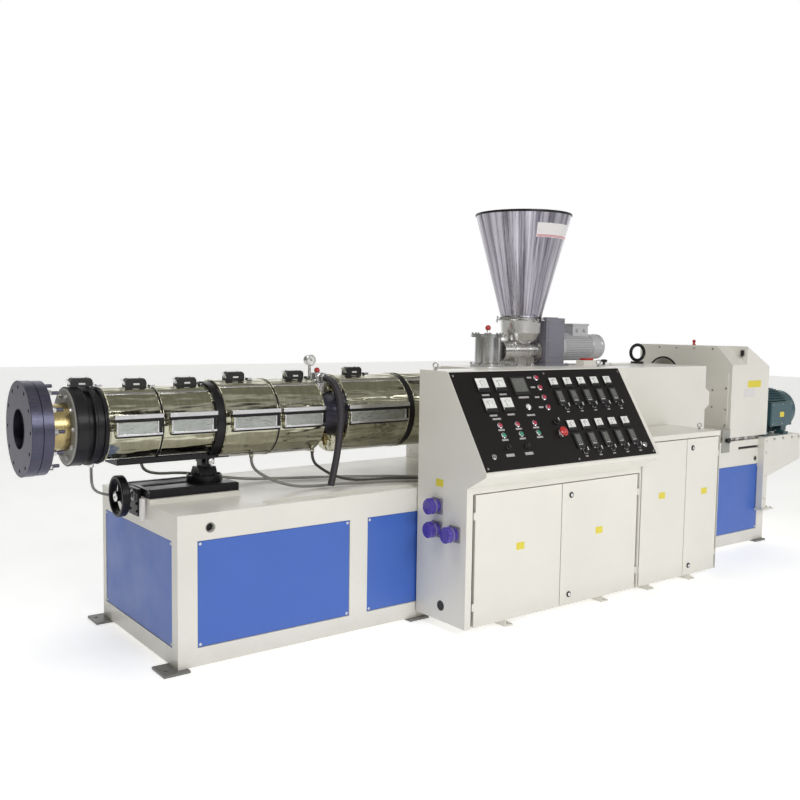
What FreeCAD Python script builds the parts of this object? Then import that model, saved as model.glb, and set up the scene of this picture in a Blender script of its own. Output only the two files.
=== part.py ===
import FreeCAD, Part
import math
import os

# Plastic extruder, conical twin-screw line machine. Lengths in millimetres.
# The working axes start at the bed's die-end corner: X along the barrel towards the drive,
# Y from the operator side to the far side, Z up from the floor.

# ---- driving dimensions ----
bedLength = 2700
bedWidth = 1010
bedTop = 742
baseEnd = 4880
baseTop = 805
padThickness = 12
padProud = 30
axisY = 505
axisZ = 1130
dieFace = -560
driveEnd = 5450
consoleLip = -563

panelLow = 103
panelHigh = 611
panelRecess = 9
panelThickness = 6
panelGap = 3

barrelRadius = 130
frontCoverRadius = 184
midCoverRadius = 207
rearCoverRadius = 221

cabinetStart = 1403
cabinetEnd = 2800
cabinetFront = -420
cabinetBack = -10
cabinetFloor = 50
cabinetShoulder = 797
consoleTop = 1399
driveCabinetStart = 2803
driveCabinetEnd = 3624
driveCabinetTop = 978
sheet = 3
doorDepth = 20
doorGap = 6

deckStart = 2100
deckEnd = 4050
deckTop = 1380
guardStart = 4380
guardSplit = 4567
guardEnd = 4876
guardLow = 834
guardTop = 1520
guardShoulder = 1366
hopperX = 2670
potX = 2372
ringX = 3905
motorY = 250
motorZ = 988

# the frame's origin is the middle of the machine at floor level
originX = (dieFace + driveEnd) / 2
originY = (consoleLip + bedWidth + padProud) / 2

os.makedirs("parts", exist_ok=True)


def vec(x, y, z):
    return FreeCAD.Vector(x, y, z)


def box(x0, x1, y0, y1, z0, z1):
    return Part.makeBox(x1 - x0, y1 - y0, z1 - z0, vec(x0, y0, z0))


def rodX(x0, x1, y, z, radius):
    return Part.makeCylinder(radius, x1 - x0, vec(x0, y, z), vec(1, 0, 0))


def rodY(x, y0, y1, z, radius):
    return Part.makeCylinder(radius, y1 - y0, vec(x, y0, z), vec(0, 1, 0))


def rodZ(x, y, z0, z1, radius):
    return Part.makeCylinder(radius, z1 - z0, vec(x, y, z0), vec(0, 0, 1))


def prismX(points, x0, x1):
    # outline in Y and Z, drawn out along X
    face = Part.Face(Part.makePolygon([vec(x0, y, z) for y, z in points + points[:1]]))
    return face.extrude(vec(x1 - x0, 0, 0))


def prismY(points, y0, y1):
    # outline in X and Z, drawn out along Y
    face = Part.Face(Part.makePolygon([vec(x, y0, z) for x, z in points + points[:1]]))
    return face.extrude(vec(0, y1 - y0, 0))


def turned(points, x, y):
    # outline of radius and height, turned about an upright line
    wire = Part.makePolygon([vec(x + r, y, z) for r, z in points + points[:1]])
    return Part.Face(wire).revolve(vec(x, y, 0), vec(0, 0, 1), 360)


def join(shapes):
    solid = shapes[0]
    for other in shapes[1:]:
        solid = solid.fuse(other)
    return solid.removeSplitter()


def save(node, shape):
    shape = shape.copy()
    shape.translate(vec(-originX, -originY, 0))
    shape.exportStep("parts/" + node + ".step")
    print(node, len(shape.Solids), "solids", round(shape.Volume / 1e6, 3), "litres")


# ---- routes of the hose, the conduits and the sensor lead ----
hoseRoute = [(1062, 440, 1336), (1062, 352, 1336), (1056, 268, 1272), (1042, 214, 1170),
             (1020, 198, 1060), (1000, 188, 950), (976, 184, 850), (948, 172, 772)]
conduitRoutes = {
    "conduit_1": [(60, 605, 956), (60, 605, 902), (100, 634, 858), (184, 668, 834), (300, 700, 826),
                  (440, 712, 806), (580, 700, 775), (730, 670, 756), (900, 620, 753), (1070, 560, 752),
                  (1240, 480, 753), (1390, 400, 753), (1530, 310, 753), (1640, 215, 754),
                  (1720, 120, 755), (1740, 40, 756), (1740, -10, 756)],
    "conduit_2": [(582, 385, 930), (582, 385, 880), (622, 350, 836), (696, 322, 796), (800, 304, 762),
                  (930, 302, 752), (1080, 290, 753), (1240, 266, 752), (1400, 216, 753),
                  (1530, 136, 753), (1600, 57, 756), (1600, -10, 756)],
    "conduit_3": [(960, 385, 930), (960, 385, 878), (1000, 354, 836), (1074, 340, 792), (1176, 332, 760),
                  (1310, 318, 752), (1450, 272, 753), (1580, 198, 752), (1660, 110, 755),
                  (1670, 37, 756), (1670, -10, 756)],
}
leadRoute = [(-227, 505, 935), (-227, 505, 892), (-222, 516, 848), (-204, 550, 812), (-174, 592, 786),
             (-136, 630, 766), (-92, 660, 750), (-44, 670, 734), (0, 670, 734)]

# ---- bed and rear base ----
frontBays = [(102, 957), (1076, 1931), (2050, 2610)]
baseBays = [(2850, 3700), (3830, 4785)]
endBay = (70, 962)
liftingX = 165
liftingZ = 672
liftingHole = 21
# raised seat of the slide rail at the die end
railEnd = 490
seatHalf = 180
seatTop = bedTop + 25


def panelSet(bays, y, side, grow, depth0, depth1):
    # panels or their recesses, on the front (side 1) or the back (side -1)
    solids = []
    for x0, x1 in bays:
        edges = sorted((y + side * depth0, y + side * depth1))
        solids.append(box(x0 - grow, x1 + grow, edges[0], edges[1], panelLow - grow, panelHigh + grow))
    return solids


def makeBed():
    bed = box(0, bedLength, 0, bedWidth, padThickness, bedTop)
    seat = box(0, railEnd, axisY - seatHalf, axisY + seatHalf, bedTop, seatTop)
    bed = bed.fuse(seat).removeSplitter()
    for recess in panelSet(frontBays, 0, 1, panelGap, 0, panelRecess):
        bed = bed.cut(recess)
    for recess in panelSet(frontBays, bedWidth, -1, panelGap, 0, panelRecess):
        bed = bed.cut(recess)
    endRecess = box(0, panelRecess, endBay[0] - panelGap, endBay[1] + panelGap,
                    panelLow - panelGap, panelHigh + panelGap)
    bed = bed.cut(endRecess)
    # lifting holes through the corner of the front and back faces
    for y0, y1 in ((0, 60), (bedWidth - 60, bedWidth)):
        bed = bed.cut(rodY(liftingX, y0, y1, liftingZ, liftingHole))
    save("bed_frame", bed)
    panels = panelSet(frontBays, 0, 1, 0, panelRecess - panelThickness, panelRecess)
    panels += panelSet(frontBays, bedWidth, -1, 0, panelRecess - panelThickness, panelRecess)
    panels.append(box(panelRecess - panelThickness, panelRecess, endBay[0], endBay[1],
                      panelLow, panelHigh))
    save("bed_panels", Part.makeCompound(panels))


def makeBase():
    base = box(bedLength, baseEnd, 0, bedWidth, padThickness, baseTop)
    for recess in panelSet(baseBays, 0, 1, panelGap, 0, panelRecess):
        base = base.cut(recess)
    for recess in panelSet(baseBays, bedWidth, -1, panelGap, 0, panelRecess):
        base = base.cut(recess)
    base = base.cut(box(4500, 4770, 0, 12, 738, 758))
    save("rear_base", base)
    panels = panelSet(baseBays, 0, 1, 0, panelRecess - panelThickness, panelRecess)
    panels += panelSet(baseBays, bedWidth, -1, 0, panelRecess - panelThickness, panelRecess)
    save("base_panels", Part.makeCompound(panels))


padLength = 130
padWidth = 150
padHole = 11
anchorX = -52
anchorY = 25


def makePads():
    # floor plates under both long sides, the die-end pair standing out with anchor holes
    pads = []
    for x in (-80, 1350, 2800, baseEnd - padLength):
        for low in (-padProud, bedWidth + padProud - padWidth):
            pads.append(box(x, x + padLength, low, low + padWidth, 0, padThickness))
    save("foot_pads", Part.makeCompound([pad.cut(anchorHoles()) for pad in pads]))


def anchorHoles():
    near = rodZ(anchorX, anchorY, 0, padThickness, padHole)
    return near.fuse(rodZ(anchorX, bedWidth - anchorY, 0, padThickness, padHole))


# ---- barrel support slide and its handwheel ----
railTop = seatTop + 40
railHalf = 158
grooveHalf = 30
grooveDepth = 14
tableX = 368
tableRadius = 92
tableTop = railTop + 33
blockTop = tableTop + 42
bracketThickness = 18
wheelX = -88
wheelZ = 768
wheelRadius = 104
screwRadius = 14
rimStart = -108
rimEnd = -68
rimInner = 86
beamStart = -130
beamEnd = 470
beamHalf = 85
beamTop = 962
beamDepth = 28


def makeSlide():
    rail = box(6, railEnd, axisY - railHalf, axisY + railHalf, seatTop, railTop)
    groove = box(30, railEnd, axisY - grooveHalf, axisY + grooveHalf, railTop - grooveDepth, railTop)
    save("slide_rail", rail.cut(groove))
    table = rodZ(tableX, axisY, railTop, tableTop, tableRadius)
    block = prismX([(axisY - 60, tableTop), (axisY + 60, tableTop),
                    (axisY + 35, blockTop), (axisY - 35, blockTop)], tableX - 50, tableX + 50)
    beamLow = beamTop - beamDepth
    post = box(tableX - 28, tableX + 24, axisY - 30, axisY + 30, blockTop, beamLow)
    beam = box(beamStart, beamEnd, axisY - beamHalf, axisY + beamHalf, beamLow, beamTop)
    save("barrel_support", join([table, block, post, beam]))


def makeHandwheel():
    face = -bracketThickness
    bracket = box(face, 0, axisY - 60, axisY + 60, wheelZ - 102, wheelZ + 36)
    bracket = bracket.cut(rodX(face, 0, axisY, wheelZ, screwRadius + 0.1))
    for y in (axisY - 42, axisY + 42):
        bracket = bracket.cut(rodX(face, 0, y, wheelZ - 74, 5))
    save("handwheel_bracket", bracket)
    rim = rodX(rimStart, rimEnd, axisY, wheelZ, wheelRadius)
    rim = rim.cut(rodX(rimStart, rimEnd, axisY, wheelZ, rimInner))
    rim = rim.makeFillet(6, [edge for edge in rim.Edges if edge.Closed])
    hub = rodX(rimStart, rimEnd + 4, axisY, wheelZ, 26)
    screw = rodX(rimEnd + 4, -1, axisY, wheelZ, screwRadius)
    wheel = hub.fuse(screw)
    for turn in (90, 210, 330):
        spoke = Part.makeCylinder(8, rimInner + 6, vec(wheelX, axisY, wheelZ),
                                  vec(0, math.cos(math.radians(turn)), math.sin(math.radians(turn))))
        wheel = wheel.fuse(spoke)
    wheel = wheel.fuse(rim)
    save("handwheel", wheel)


# ---- barrel, die end and heater covers ----
dieRadius = 225
dieGroove = -510
grooveWidth = 4
grooveRadius = 212
dieBack = -460
boltCircle = 394
boltCount = 12
boltHole = 9
dieBore = 94
adapterRadius = 112
flangeFace = -348
barrelStart = -330
# start, end and radius of each step of the flange behind the adapter
flangeSteps = [
    (flangeFace, -290, 190),
    (-290, -262, 168),
    (-262, -240, 192),
    (-240, -214, 176),
    (-214, -199, 188),
]
clampStart = 350
clampEnd = 395
clampRadius = 200
coverSpans = [
    (-195, 66, frontCoverRadius),
    (70, clampStart, frontCoverRadius),
    (clampEnd, 703, midCoverRadius),
    (707, 991, midCoverRadius),
    (1133, 1563, rearCoverRadius),
    (1603, deckStart, rearCoverRadius),
]


ductSpans = [
    (-168, 58, frontCoverRadius),
    (107, 346, frontCoverRadius),
    (432, 698, midCoverRadius),
    (730, 984, midCoverRadius),
    (1140, 1545, rearCoverRadius),
]
boxHalf = 52
boxDepth = 54
boxHeight = 40
boxPlaces = [
    (-275, 192),
    (-7, frontCoverRadius),
    (262, frontCoverRadius),
    (537, midCoverRadius),
    (905, midCoverRadius),
    (1300, rearCoverRadius),
]


def makeDie():
    front = rodX(dieFace, dieGroove, axisY, axisZ, dieRadius)
    back = rodX(dieGroove + grooveWidth, dieBack, axisY, axisZ, dieRadius - 2)
    neck = rodX(dieGroove, dieGroove + grooveWidth, axisY, axisZ, grooveRadius)
    flange = join([front, neck, back])
    flange = flange.cut(rodX(dieFace, dieBack, axisY, axisZ, dieBore))
    for i in range(boltCount):
        turn = 2 * math.pi * i / boltCount
        hole = rodX(dieFace, dieBack, axisY + boltCircle / 2 * math.sin(turn),
                    axisZ + boltCircle / 2 * math.cos(turn), boltHole)
        flange = flange.cut(hole)
    save("die_flange", flange)
    adapter = rodX(dieBack, flangeFace, axisY, axisZ, adapterRadius)
    adapter = adapter.cut(rodX(dieBack, flangeFace, axisY, axisZ, dieBore))
    save("die_adapter", adapter)
    steps = [rodX(x0, x1, axisY, axisZ, radius) for x0, x1, radius in flangeSteps]
    ring = join(steps)
    ring = ring.cut(rodX(flangeFace, barrelStart, axisY, axisZ, dieBore))
    ring = ring.cut(rodX(barrelStart, flangeSteps[-1][1], axisY, axisZ, barrelRadius))
    gland = rodZ(-227, axisY, 935, 960, 9)
    save("barrel_flange", join([ring, gland]))


def makeBarrel():
    barrel = rodX(barrelStart, deckStart, axisY, axisZ, barrelRadius)
    barrel = barrel.cut(rodX(barrelStart, deckStart - 400, axisY, axisZ, 62))
    save("barrel", barrel)
    for i, (x0, x1, radius) in enumerate(coverSpans):
        cover = rodX(x0, x1, axisY, axisZ, radius).cut(rodX(x0, x1, axisY, axisZ, barrelRadius))
        if radius == frontCoverRadius:
            cover = cover.cut(box(x0, x1, axisY - 200, axisY + 200, axisZ - 200, beamTop))
        if x0 == clampEnd:
            cover = cover.cut(box(x0, beamEnd, axisY - beamHalf, axisY + beamHalf, 900, beamTop))
        save("heater_cover_" + str(i + 1), cover)
    clamp = rodX(clampStart, clampEnd, axisY, axisZ, clampRadius)
    clamp = clamp.cut(rodX(clampStart, clampEnd, axisY, axisZ, barrelRadius))
    clamp = clamp.cut(box(clampStart, clampEnd, axisY - beamHalf, axisY + beamHalf, 900, beamTop))
    save("clamp_ring", clamp)


def makeCoverFittings():
    # flat cable ducts on the operator side of the covers
    ducts = []
    for x0, x1, radius in ductSpans:
        duct = box(x0, x1, axisY - radius - 14, axisY - radius + 60, axisZ - 38, axisZ + 38)
        ducts.append(duct.cut(rodX(x0, x1, axisY, axisZ, radius)))
    # glands under the covers where the conduits leave
    for x, y, z in (route[0] for route in conduitRoutes.values()):
        radius = frontCoverRadius if x < 350 else midCoverRadius
        ducts.append(rodZ(x, y, z, z + 40, 12).cut(rodX(x - 20, x + 20, axisY, axisZ, radius)))
    save("cover_ducts", Part.makeCompound(ducts))
    # black connection boxes on top of the covers and the end flange
    boxes = []
    for x, radius in boxPlaces:
        low = axisZ + radius
        top = low + boxHeight
        outline = [(x - boxHalf, low - 12), (x - boxHalf, top - 12), (x - boxHalf + 10, top),
                   (x + boxHalf - 10, top), (x + boxHalf, top - 12), (x + boxHalf, low - 12)]
        cap = prismY(outline, axisY - boxDepth / 2, axisY + boxDepth / 2)
        cap = cap.cut(rodX(x - boxHalf, x + boxHalf, axisY, axisZ, radius))
        boxes.append(cap)
    save("terminal_boxes", Part.makeCompound(boxes))


ventX = 1062
ventFlangeLow = 1290
ventFlangeTop = 1308
stubTop = 1364
elbowZ = 1336
elbowEnd = 440
gaugeX = ventX - 50
gaugeZ = 1434
gaugeRadius = 31
gaugeHalf = 14


def makeVent():
    saddle = rodZ(ventX, axisY, axisZ + 100, ventFlangeLow, 58)
    saddle = saddle.cut(rodX(ventX - 72, ventX + 72, axisY, axisZ, barrelRadius))
    flange = rodZ(ventX, axisY, ventFlangeLow, ventFlangeTop, 70)
    stub = rodZ(ventX, axisY, ventFlangeTop, stubTop, 36)
    elbow = rodY(ventX, elbowEnd, axisY, elbowZ, 24)
    knob = Part.makeSphere(15, vec(ventX, axisY, stubTop + 8))
    dial = rodY(gaugeX, axisY - gaugeHalf, axisY + gaugeHalf, gaugeZ, gaugeRadius)
    stem = rodZ(gaugeX, axisY, ventFlangeTop - 4, gaugeZ - gaugeRadius + 3, 8)
    save("vent_port", join([saddle, flange, stub, elbow, knob, stem, dial]))


# ---- gearbox cover with feeder ----
deckFold = 640
deckBackTop = 1290
bossDepth = 220
shaftY = 620
shaftZ = 1280
shaftRadius = 45
ringRadius = 58
ringWire = 12


def deckOutline(low):
    return [(0, low), (0, deckTop), (deckFold, deckTop), (bedWidth, deckBackTop), (bedWidth, low)]


def makeDeck():
    cover = prismX(deckOutline(baseTop), bedLength, deckEnd)
    front = prismX(deckOutline(bedTop), deckStart, bedLength)
    boss = prismY([(deckEnd, 1066), (deckEnd + 50, 1096), (deckEnd + 50, 1190), (deckEnd, 1220)],
                  0, bossDepth)
    save("gearbox_cover", join([cover, front, boss]))
    save("input_shaft", rodX(deckEnd, guardStart + 120, shaftY, shaftZ, shaftRadius))
    ring = Part.makeTorus(ringRadius, ringWire, vec(ringX, axisY, deckTop + 82), vec(0.3, 0.95, 0))
    foot = rodZ(ringX, axisY, deckTop, deckTop + 14, 48)
    neck = rodZ(ringX, axisY, deckTop + 14, deckTop + 30, 20)
    save("lifting_ring", join([foot, neck, ring]))


potLidLow = 1570
potLidTop = 1592


def makePot():
    flange = rodZ(potX, axisY, deckTop, deckTop + 18, 122)
    body = rodZ(potX, axisY, deckTop + 18, potLidLow, 88)
    lid = rodZ(potX, axisY, potLidLow, potLidTop, 116)
    save("inspection_pot", join([flange, body, lid]))


hopperWall = 3
hopperLowRadius = 135
hopperTopRadius = 316
hopperLow = 1702
hopperTop = 2375
bandLow = 1690
bandGap = 2
bowlBottom = 1530
bowlShoulder = 1600
feedZ = 1480
feedRadius = 70
feederStart = 2807
feederEnd = 2985
feederTop = 1704
feederFoot = deckTop + 14
feederMotorZ = 1508
feederMotorRadius = 86
feederCowlStart = 3310
feederMotorEnd = 3427


def makeFeeder():
    cone = turned([(hopperLowRadius, hopperLow), (hopperTopRadius, hopperTop),
                   (hopperTopRadius - hopperWall, hopperTop), (hopperLowRadius - hopperWall, hopperLow)],
                  hopperX, axisY)
    rim = Part.makeTorus(hopperTopRadius - hopperWall, 8, vec(hopperX, axisY, hopperTop + 4), vec(0, 0, 1))
    save("hopper", cone.fuse(rim))
    band = rodZ(hopperX, axisY, bandLow, hopperLow, 152)
    bowl = turned([(0, bowlBottom), (62, bowlBottom), (108, 1552), (132, bowlShoulder), (138, bandLow),
                   (0, bandLow)], hopperX, axisY)
    tube = rodX(hopperX - 195, feederStart, axisY, feedZ, feedRadius)
    collar = rodX(feederStart - 18, feederStart, axisY, feedZ, 84)
    saddle = box(hopperX - 110, hopperX + 70, axisY - 62, axisY + 62, deckTop, feedZ - 40)
    throat = join([band, bowl, tube, collar, saddle])
    inside = turned([(0, bowlShoulder), (60, bowlShoulder), (125, bandLow), (128, hopperLow),
                     (0, hopperLow)], hopperX, axisY)
    flat = box(feederStart - bandGap, feederEnd, axisY - 105, axisY + 105, bowlShoulder, hopperLow)
    save("feed_throat", throat.cut(inside).cut(flat))
    housing = box(feederStart, feederEnd, axisY - 105, axisY + 105, feederFoot, feederTop)
    base = box(feederStart - 20, feederEnd + 22, axisY - 130, axisY + 130, deckTop, feederFoot)
    save("feeder_gearbox", join([housing, base]))
    motor = rodX(feederEnd, feederCowlStart, axisY, feederMotorZ, feederMotorRadius)
    flange = rodX(feederEnd, feederEnd + 18, axisY, feederMotorZ, feederMotorRadius + 20)
    cowl = rodX(feederCowlStart, feederMotorEnd, axisY, feederMotorZ, feederMotorRadius + 3)
    head = box(3120, 3275, axisY - 58, axisY + 58, feederMotorZ + 60, 1662)
    save("feeder_motor", join([motor, flange, cowl, head]))


# ---- control cabinet, console and sockets ----
leftDoor = (1465, 2115)
rightDoor = (2121, 2779)
leftHinge = 1455
rightHinge = 2787
driveLeftHinge = 2819
driveRightHinge = 3609
doorLow = 53
doorHigh = 760
driveLeftDoor = (2823, 3261)
driveRightDoor = (3267, 3604)
driveDoorHigh = 940
legDepth = 8


def makeDoor(node, x0, x1, y, z1, hingeX, pin):
    # folded sheet tray with its hinge knuckles on the outer edge
    tray = box(x0, x1, y, y + doorDepth, doorLow, z1)
    tray = tray.cut(box(x0 + 2, x1 - 2, y + 2, y + doorDepth, doorLow + 2, z1 - 2))
    inner = x0 if abs(x0 - hingeX) < abs(x1 - hingeX) else x1
    low, high = sorted((hingeX, inner))
    for z in (doorLow + 90, z1 - 130):
        knuckle = rodZ(hingeX, y, z, z + 40, pin)
        leaf = box(low, high, y - 2, y + 2, z, z + 40)
        tray = tray.fuse(knuckle).fuse(leaf)
    save(node, tray.removeSplitter())


def makeCabinet():
    front = cabinetFront
    walls = [
        box(cabinetStart, cabinetStart + sheet, front, cabinetBack, cabinetFloor, cabinetShoulder),
        box(cabinetEnd - sheet, cabinetEnd, front, cabinetBack, cabinetFloor, cabinetShoulder),
        box(cabinetStart, cabinetEnd, cabinetBack - sheet, cabinetBack, cabinetFloor, cabinetShoulder),
        box(cabinetStart, cabinetEnd, front + 28, cabinetBack, cabinetFloor, cabinetFloor + sheet),
        box(cabinetStart, leftDoor[0] - 20, front, front + 24, cabinetFloor, cabinetShoulder),
        box(cabinetStart, cabinetEnd, front, front + 24, doorHigh + doorGap, cabinetShoulder),
    ]
    for x in (1726, 2520):
        walls.append(box(x, x + legDepth, front + 30, cabinetBack - 20, 0, cabinetFloor))
        walls.append(box(x, x + 60, front + 30, cabinetBack - 20, 0, legDepth))
    save("control_cabinet", join(walls))
    makeDoor("cabinet_door_left", leftDoor[0], leftDoor[1], front, doorHigh, leftHinge, 5)
    makeDoor("cabinet_door_right", rightDoor[0], rightDoor[1], front, doorHigh, rightHinge, 5)


lipLow = 878
lipTop = 896
consoleBrow = -243
faceLeft = 4
faceRight = 35
faceEdge = 8
faceThickness = 4
socketPlaces = [(-185, 674), (-185, 547), (-331, 546)]
socketBody = 34
socketCap = 39
consoleOutline = [(cabinetFront, cabinetShoulder), (consoleLip, lipLow), (consoleLip, lipTop),
                  (consoleBrow, consoleTop), (cabinetBack, consoleTop), (cabinetBack, cabinetShoulder)]
consoleInner = [(cabinetFront + 5, cabinetShoulder), (consoleLip + sheet, lipLow + 2),
                (consoleLip + sheet, lipTop - 1), (consoleBrow + 2, consoleTop - sheet),
                (cabinetBack - sheet, consoleTop - sheet), (cabinetBack - sheet, cabinetShoulder)]


def makeConsole():
    console = prismX(consoleOutline, cabinetStart, cabinetEnd)
    console = console.cut(prismX(consoleInner, cabinetStart + sheet, cabinetEnd - sheet))
    save("control_console", console)
    # black instrument plate on the sloping face
    slope = math.atan2(consoleTop - lipTop, consoleBrow - consoleLip)
    along = vec(0, math.cos(slope), math.sin(slope))
    out = vec(0, -math.sin(slope), math.cos(slope))
    faceLength = math.hypot(consoleTop - lipTop, consoleBrow - consoleLip)
    plate = Part.makeBox(cabinetEnd - cabinetStart - faceLeft - faceRight, faceLength - 2 * faceEdge,
                         faceThickness)
    turn = FreeCAD.Matrix(1, 0, 0, cabinetStart + faceLeft,
                          0, along.y, out.y, consoleLip + along.y * faceEdge,
                          0, along.z, out.z, lipTop + along.z * faceEdge,
                          0, 0, 0, 1)
    save("control_panel", plate.transformGeometry(turn))
    sockets = []
    for y, z in socketPlaces:
        body = rodX(cabinetStart - socketBody, cabinetStart, y, z, 34)
        cap = rodX(cabinetStart - 72, cabinetStart - socketBody, y, z, socketCap)
        sockets.append(join([body, cap]))
    save("power_sockets", Part.makeCompound(sockets))


def makeDriveCabinet():
    x0 = driveCabinetStart
    x1 = driveCabinetEnd
    front = cabinetFront
    walls = [
        box(x0, x0 + sheet, front, cabinetBack, cabinetFloor, driveCabinetTop),
        box(x1 - sheet, x1, front, cabinetBack, cabinetFloor, driveCabinetTop),
        box(x0, x1, cabinetBack - sheet, cabinetBack, cabinetFloor, driveCabinetTop),
        box(x0, x1, front + 28, cabinetBack, cabinetFloor, cabinetFloor + sheet),
        box(x0, driveLeftDoor[0] - 2 * doorGap, front, front + 24, cabinetFloor, driveCabinetTop),
        box(x0, x1, front, cabinetBack, driveCabinetTop - sheet, driveCabinetTop),
        box(x0, x1, front, front + 24, driveDoorHigh + doorGap, driveCabinetTop),
    ]
    for x in (2960, 3385):
        walls.append(box(x, x + legDepth, front + 30, cabinetBack - 20, 0, cabinetFloor))
        walls.append(box(x, x + 60, front + 30, cabinetBack - 20, 0, legDepth))
    save("drive_cabinet", join(walls))
    makeDoor("drive_door_left", driveLeftDoor[0], driveLeftDoor[1], front, driveDoorHigh,
             driveLeftHinge, 3.5)
    makeDoor("drive_door_right", driveRightDoor[0], driveRightDoor[1], front, driveDoorHigh,
             driveRightHinge, 3.5)


# ---- belt guard, main motor and what carries it ----
guardBack = 850
guardChamfer = 140
shaftWell = 132
motorRadius = 168
motorEnd = 5330
cowlEnd = 5440
bellEnd = baseEnd + 26
bracketFront = 40
bracketBack = 560
footTop = baseTop + 22
pipeY = 30


def makeGuard():
    outline = [(0, guardLow), (0, guardTop - guardChamfer), (guardChamfer, guardTop),
               (guardBack, guardTop), (guardBack, guardLow)]
    left = prismX(outline, guardStart, guardSplit)
    right = prismY([(guardSplit, guardLow), (guardSplit, guardTop), (guardEnd, guardShoulder),
                    (guardEnd, guardLow)], 0, guardBack)
    guard = join([left, right])
    guard = guard.cut(rodX(guardStart, guardStart + 120, shaftY, shaftZ, shaftWell))
    feet = [box(4460, 4820, y, y + 90, baseTop, guardLow) for y in (120, 700)]
    save("belt_guard", join([guard] + feet))


def makeDrive():
    bracket = prismY([(baseEnd, 462), (baseEnd, baseTop), (driveEnd, baseTop), (driveEnd, 594)],
                     bracketFront, bracketBack)
    save("motor_bracket", bracket)
    motor = rodX(bellEnd, motorEnd, motorY, motorZ, motorRadius)
    cowl = rodX(motorEnd, cowlEnd, motorY, motorZ, motorRadius - 6)
    bell = rodX(baseEnd + 6, bellEnd, motorY, motorZ, motorRadius + 8)
    feet = []
    for y in (80, 360):
        for x in (4960, 5240):
            feet.append(box(x, x + 70, y - 10, y + 70, baseTop, footTop))
            feet.append(box(x, x + 70, y + 10, y + 50, footTop, 906))
    leads = box(5006, 5310, 50, 140, 886, 1073)
    save("main_motor", join([motor, cowl, bell, leads] + feet))
    post = box(baseEnd - 110, baseEnd - 52, -52, 0, 262, 818)
    foot = box(baseEnd - 128, baseEnd + 30, -70, 0, 250, 262)
    save("cable_post", join([post, foot]))
    pipe = rodX(4300, 4790, pipeY, baseTop + 16, 11)
    for x in (4480, 4600, 4720):
        pipe = pipe.fuse(box(x, x + 40, pipeY - 16, pipeY + 16, baseTop, baseTop + 29))
    save("water_pipes", pipe.removeSplitter())


# ---- cords: straight runs joined by the largest arcs that fit ----
def cordTube(name, points, diameter):
    nodes = [vec(*p) for p in points]
    edges = []
    last = nodes[0]
    radii = []
    for i in range(1, len(nodes) - 1):
        into = nodes[i] - nodes[i - 1]
        outof = nodes[i + 1] - nodes[i]
        reach = 0.45 * min(into.Length, outof.Length)
        radii.append(reach / math.tan(into.getAngle(outof) / 2))
        start = nodes[i] - into.normalize() * reach
        end = nodes[i] + outof.normalize() * reach
        bisector = (end - nodes[i]) + (start - nodes[i])
        half = into.getAngle(outof) / 2
        middle = nodes[i] + bisector.normalize() * (radii[-1] * (1 / math.cos(half) - 1))
        edges.append(Part.LineSegment(last, start).toShape())
        edges.append(Part.Arc(start, middle, end).toShape())
        last = end
    edges.append(Part.LineSegment(last, nodes[-1]).toShape())
    path = Part.Wire(edges)
    circle = Part.makeCircle(diameter / 2, nodes[0], nodes[1] - nodes[0])
    tube = path.makePipeShell([Part.Wire([circle])], True, False)
    section = math.pi * diameter ** 2 / 4
    print(name, "length", round(path.Length), "radii", [round(r) for r in radii],
          "volume ratio", round(tube.Volume / (section * path.Length), 4))
    save(name, tube)


def makeCords():
    cordTube("vacuum_hose", hoseRoute, 38)
    for name, route in conduitRoutes.items():
        cordTube(name, route, 16)
    cordTube("sensor_lead", leadRoute, 14)


makeBed()
makeBase()
makePads()
makeSlide()
makeHandwheel()
makeDie()
makeBarrel()
makeCoverFittings()
makeVent()
makeDeck()
makePot()
makeFeeder()
makeCabinet()
makeConsole()
makeDriveCabinet()
makeGuard()
makeDrive()
makeCords()
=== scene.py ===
import math

import bmesh
import bpy
from mathutils import Matrix, Vector


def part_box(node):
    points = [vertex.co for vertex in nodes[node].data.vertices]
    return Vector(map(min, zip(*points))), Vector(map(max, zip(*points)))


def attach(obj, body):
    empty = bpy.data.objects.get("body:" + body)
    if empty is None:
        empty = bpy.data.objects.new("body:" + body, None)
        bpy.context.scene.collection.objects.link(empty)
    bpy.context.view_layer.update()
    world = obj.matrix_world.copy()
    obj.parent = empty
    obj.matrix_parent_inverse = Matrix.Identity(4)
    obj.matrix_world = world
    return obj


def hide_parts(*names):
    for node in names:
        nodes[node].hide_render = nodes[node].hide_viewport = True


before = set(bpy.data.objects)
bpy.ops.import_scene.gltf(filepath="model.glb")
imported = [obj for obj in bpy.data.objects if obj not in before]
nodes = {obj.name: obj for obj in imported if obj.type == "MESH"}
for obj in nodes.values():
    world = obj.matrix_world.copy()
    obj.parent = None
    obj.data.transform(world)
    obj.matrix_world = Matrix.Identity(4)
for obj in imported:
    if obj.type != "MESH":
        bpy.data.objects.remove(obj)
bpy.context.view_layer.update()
print("frame loaded:", len(nodes), "CAD nodes")

# every place below is in millimetres from the bed's die-end corner: along, across, up
toMotor, toDie = (1.0, 0.0, 0.0), (-1.0, 0.0, 0.0)
toBack, toFront = (0.0, 1.0, 0.0), (0.0, -1.0, 0.0)
upward, downward = (0.0, 0.0, 1.0), (0.0, 0.0, -1.0)
hopperAxis = (2670, 505)
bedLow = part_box("bed_frame")[0]
bedCorner = Vector((bedLow[0], bedLow[1], 0.0))


def place(x, y, z):
    return bedCorner + Vector((x, y, z)) / 1000


# camera
cameraSettings = {"spot": (-1677, -3907, 1631), "heading": 37.09, "tilt": 4.62, "roll": 0.85, "lens": 40.87}


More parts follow.
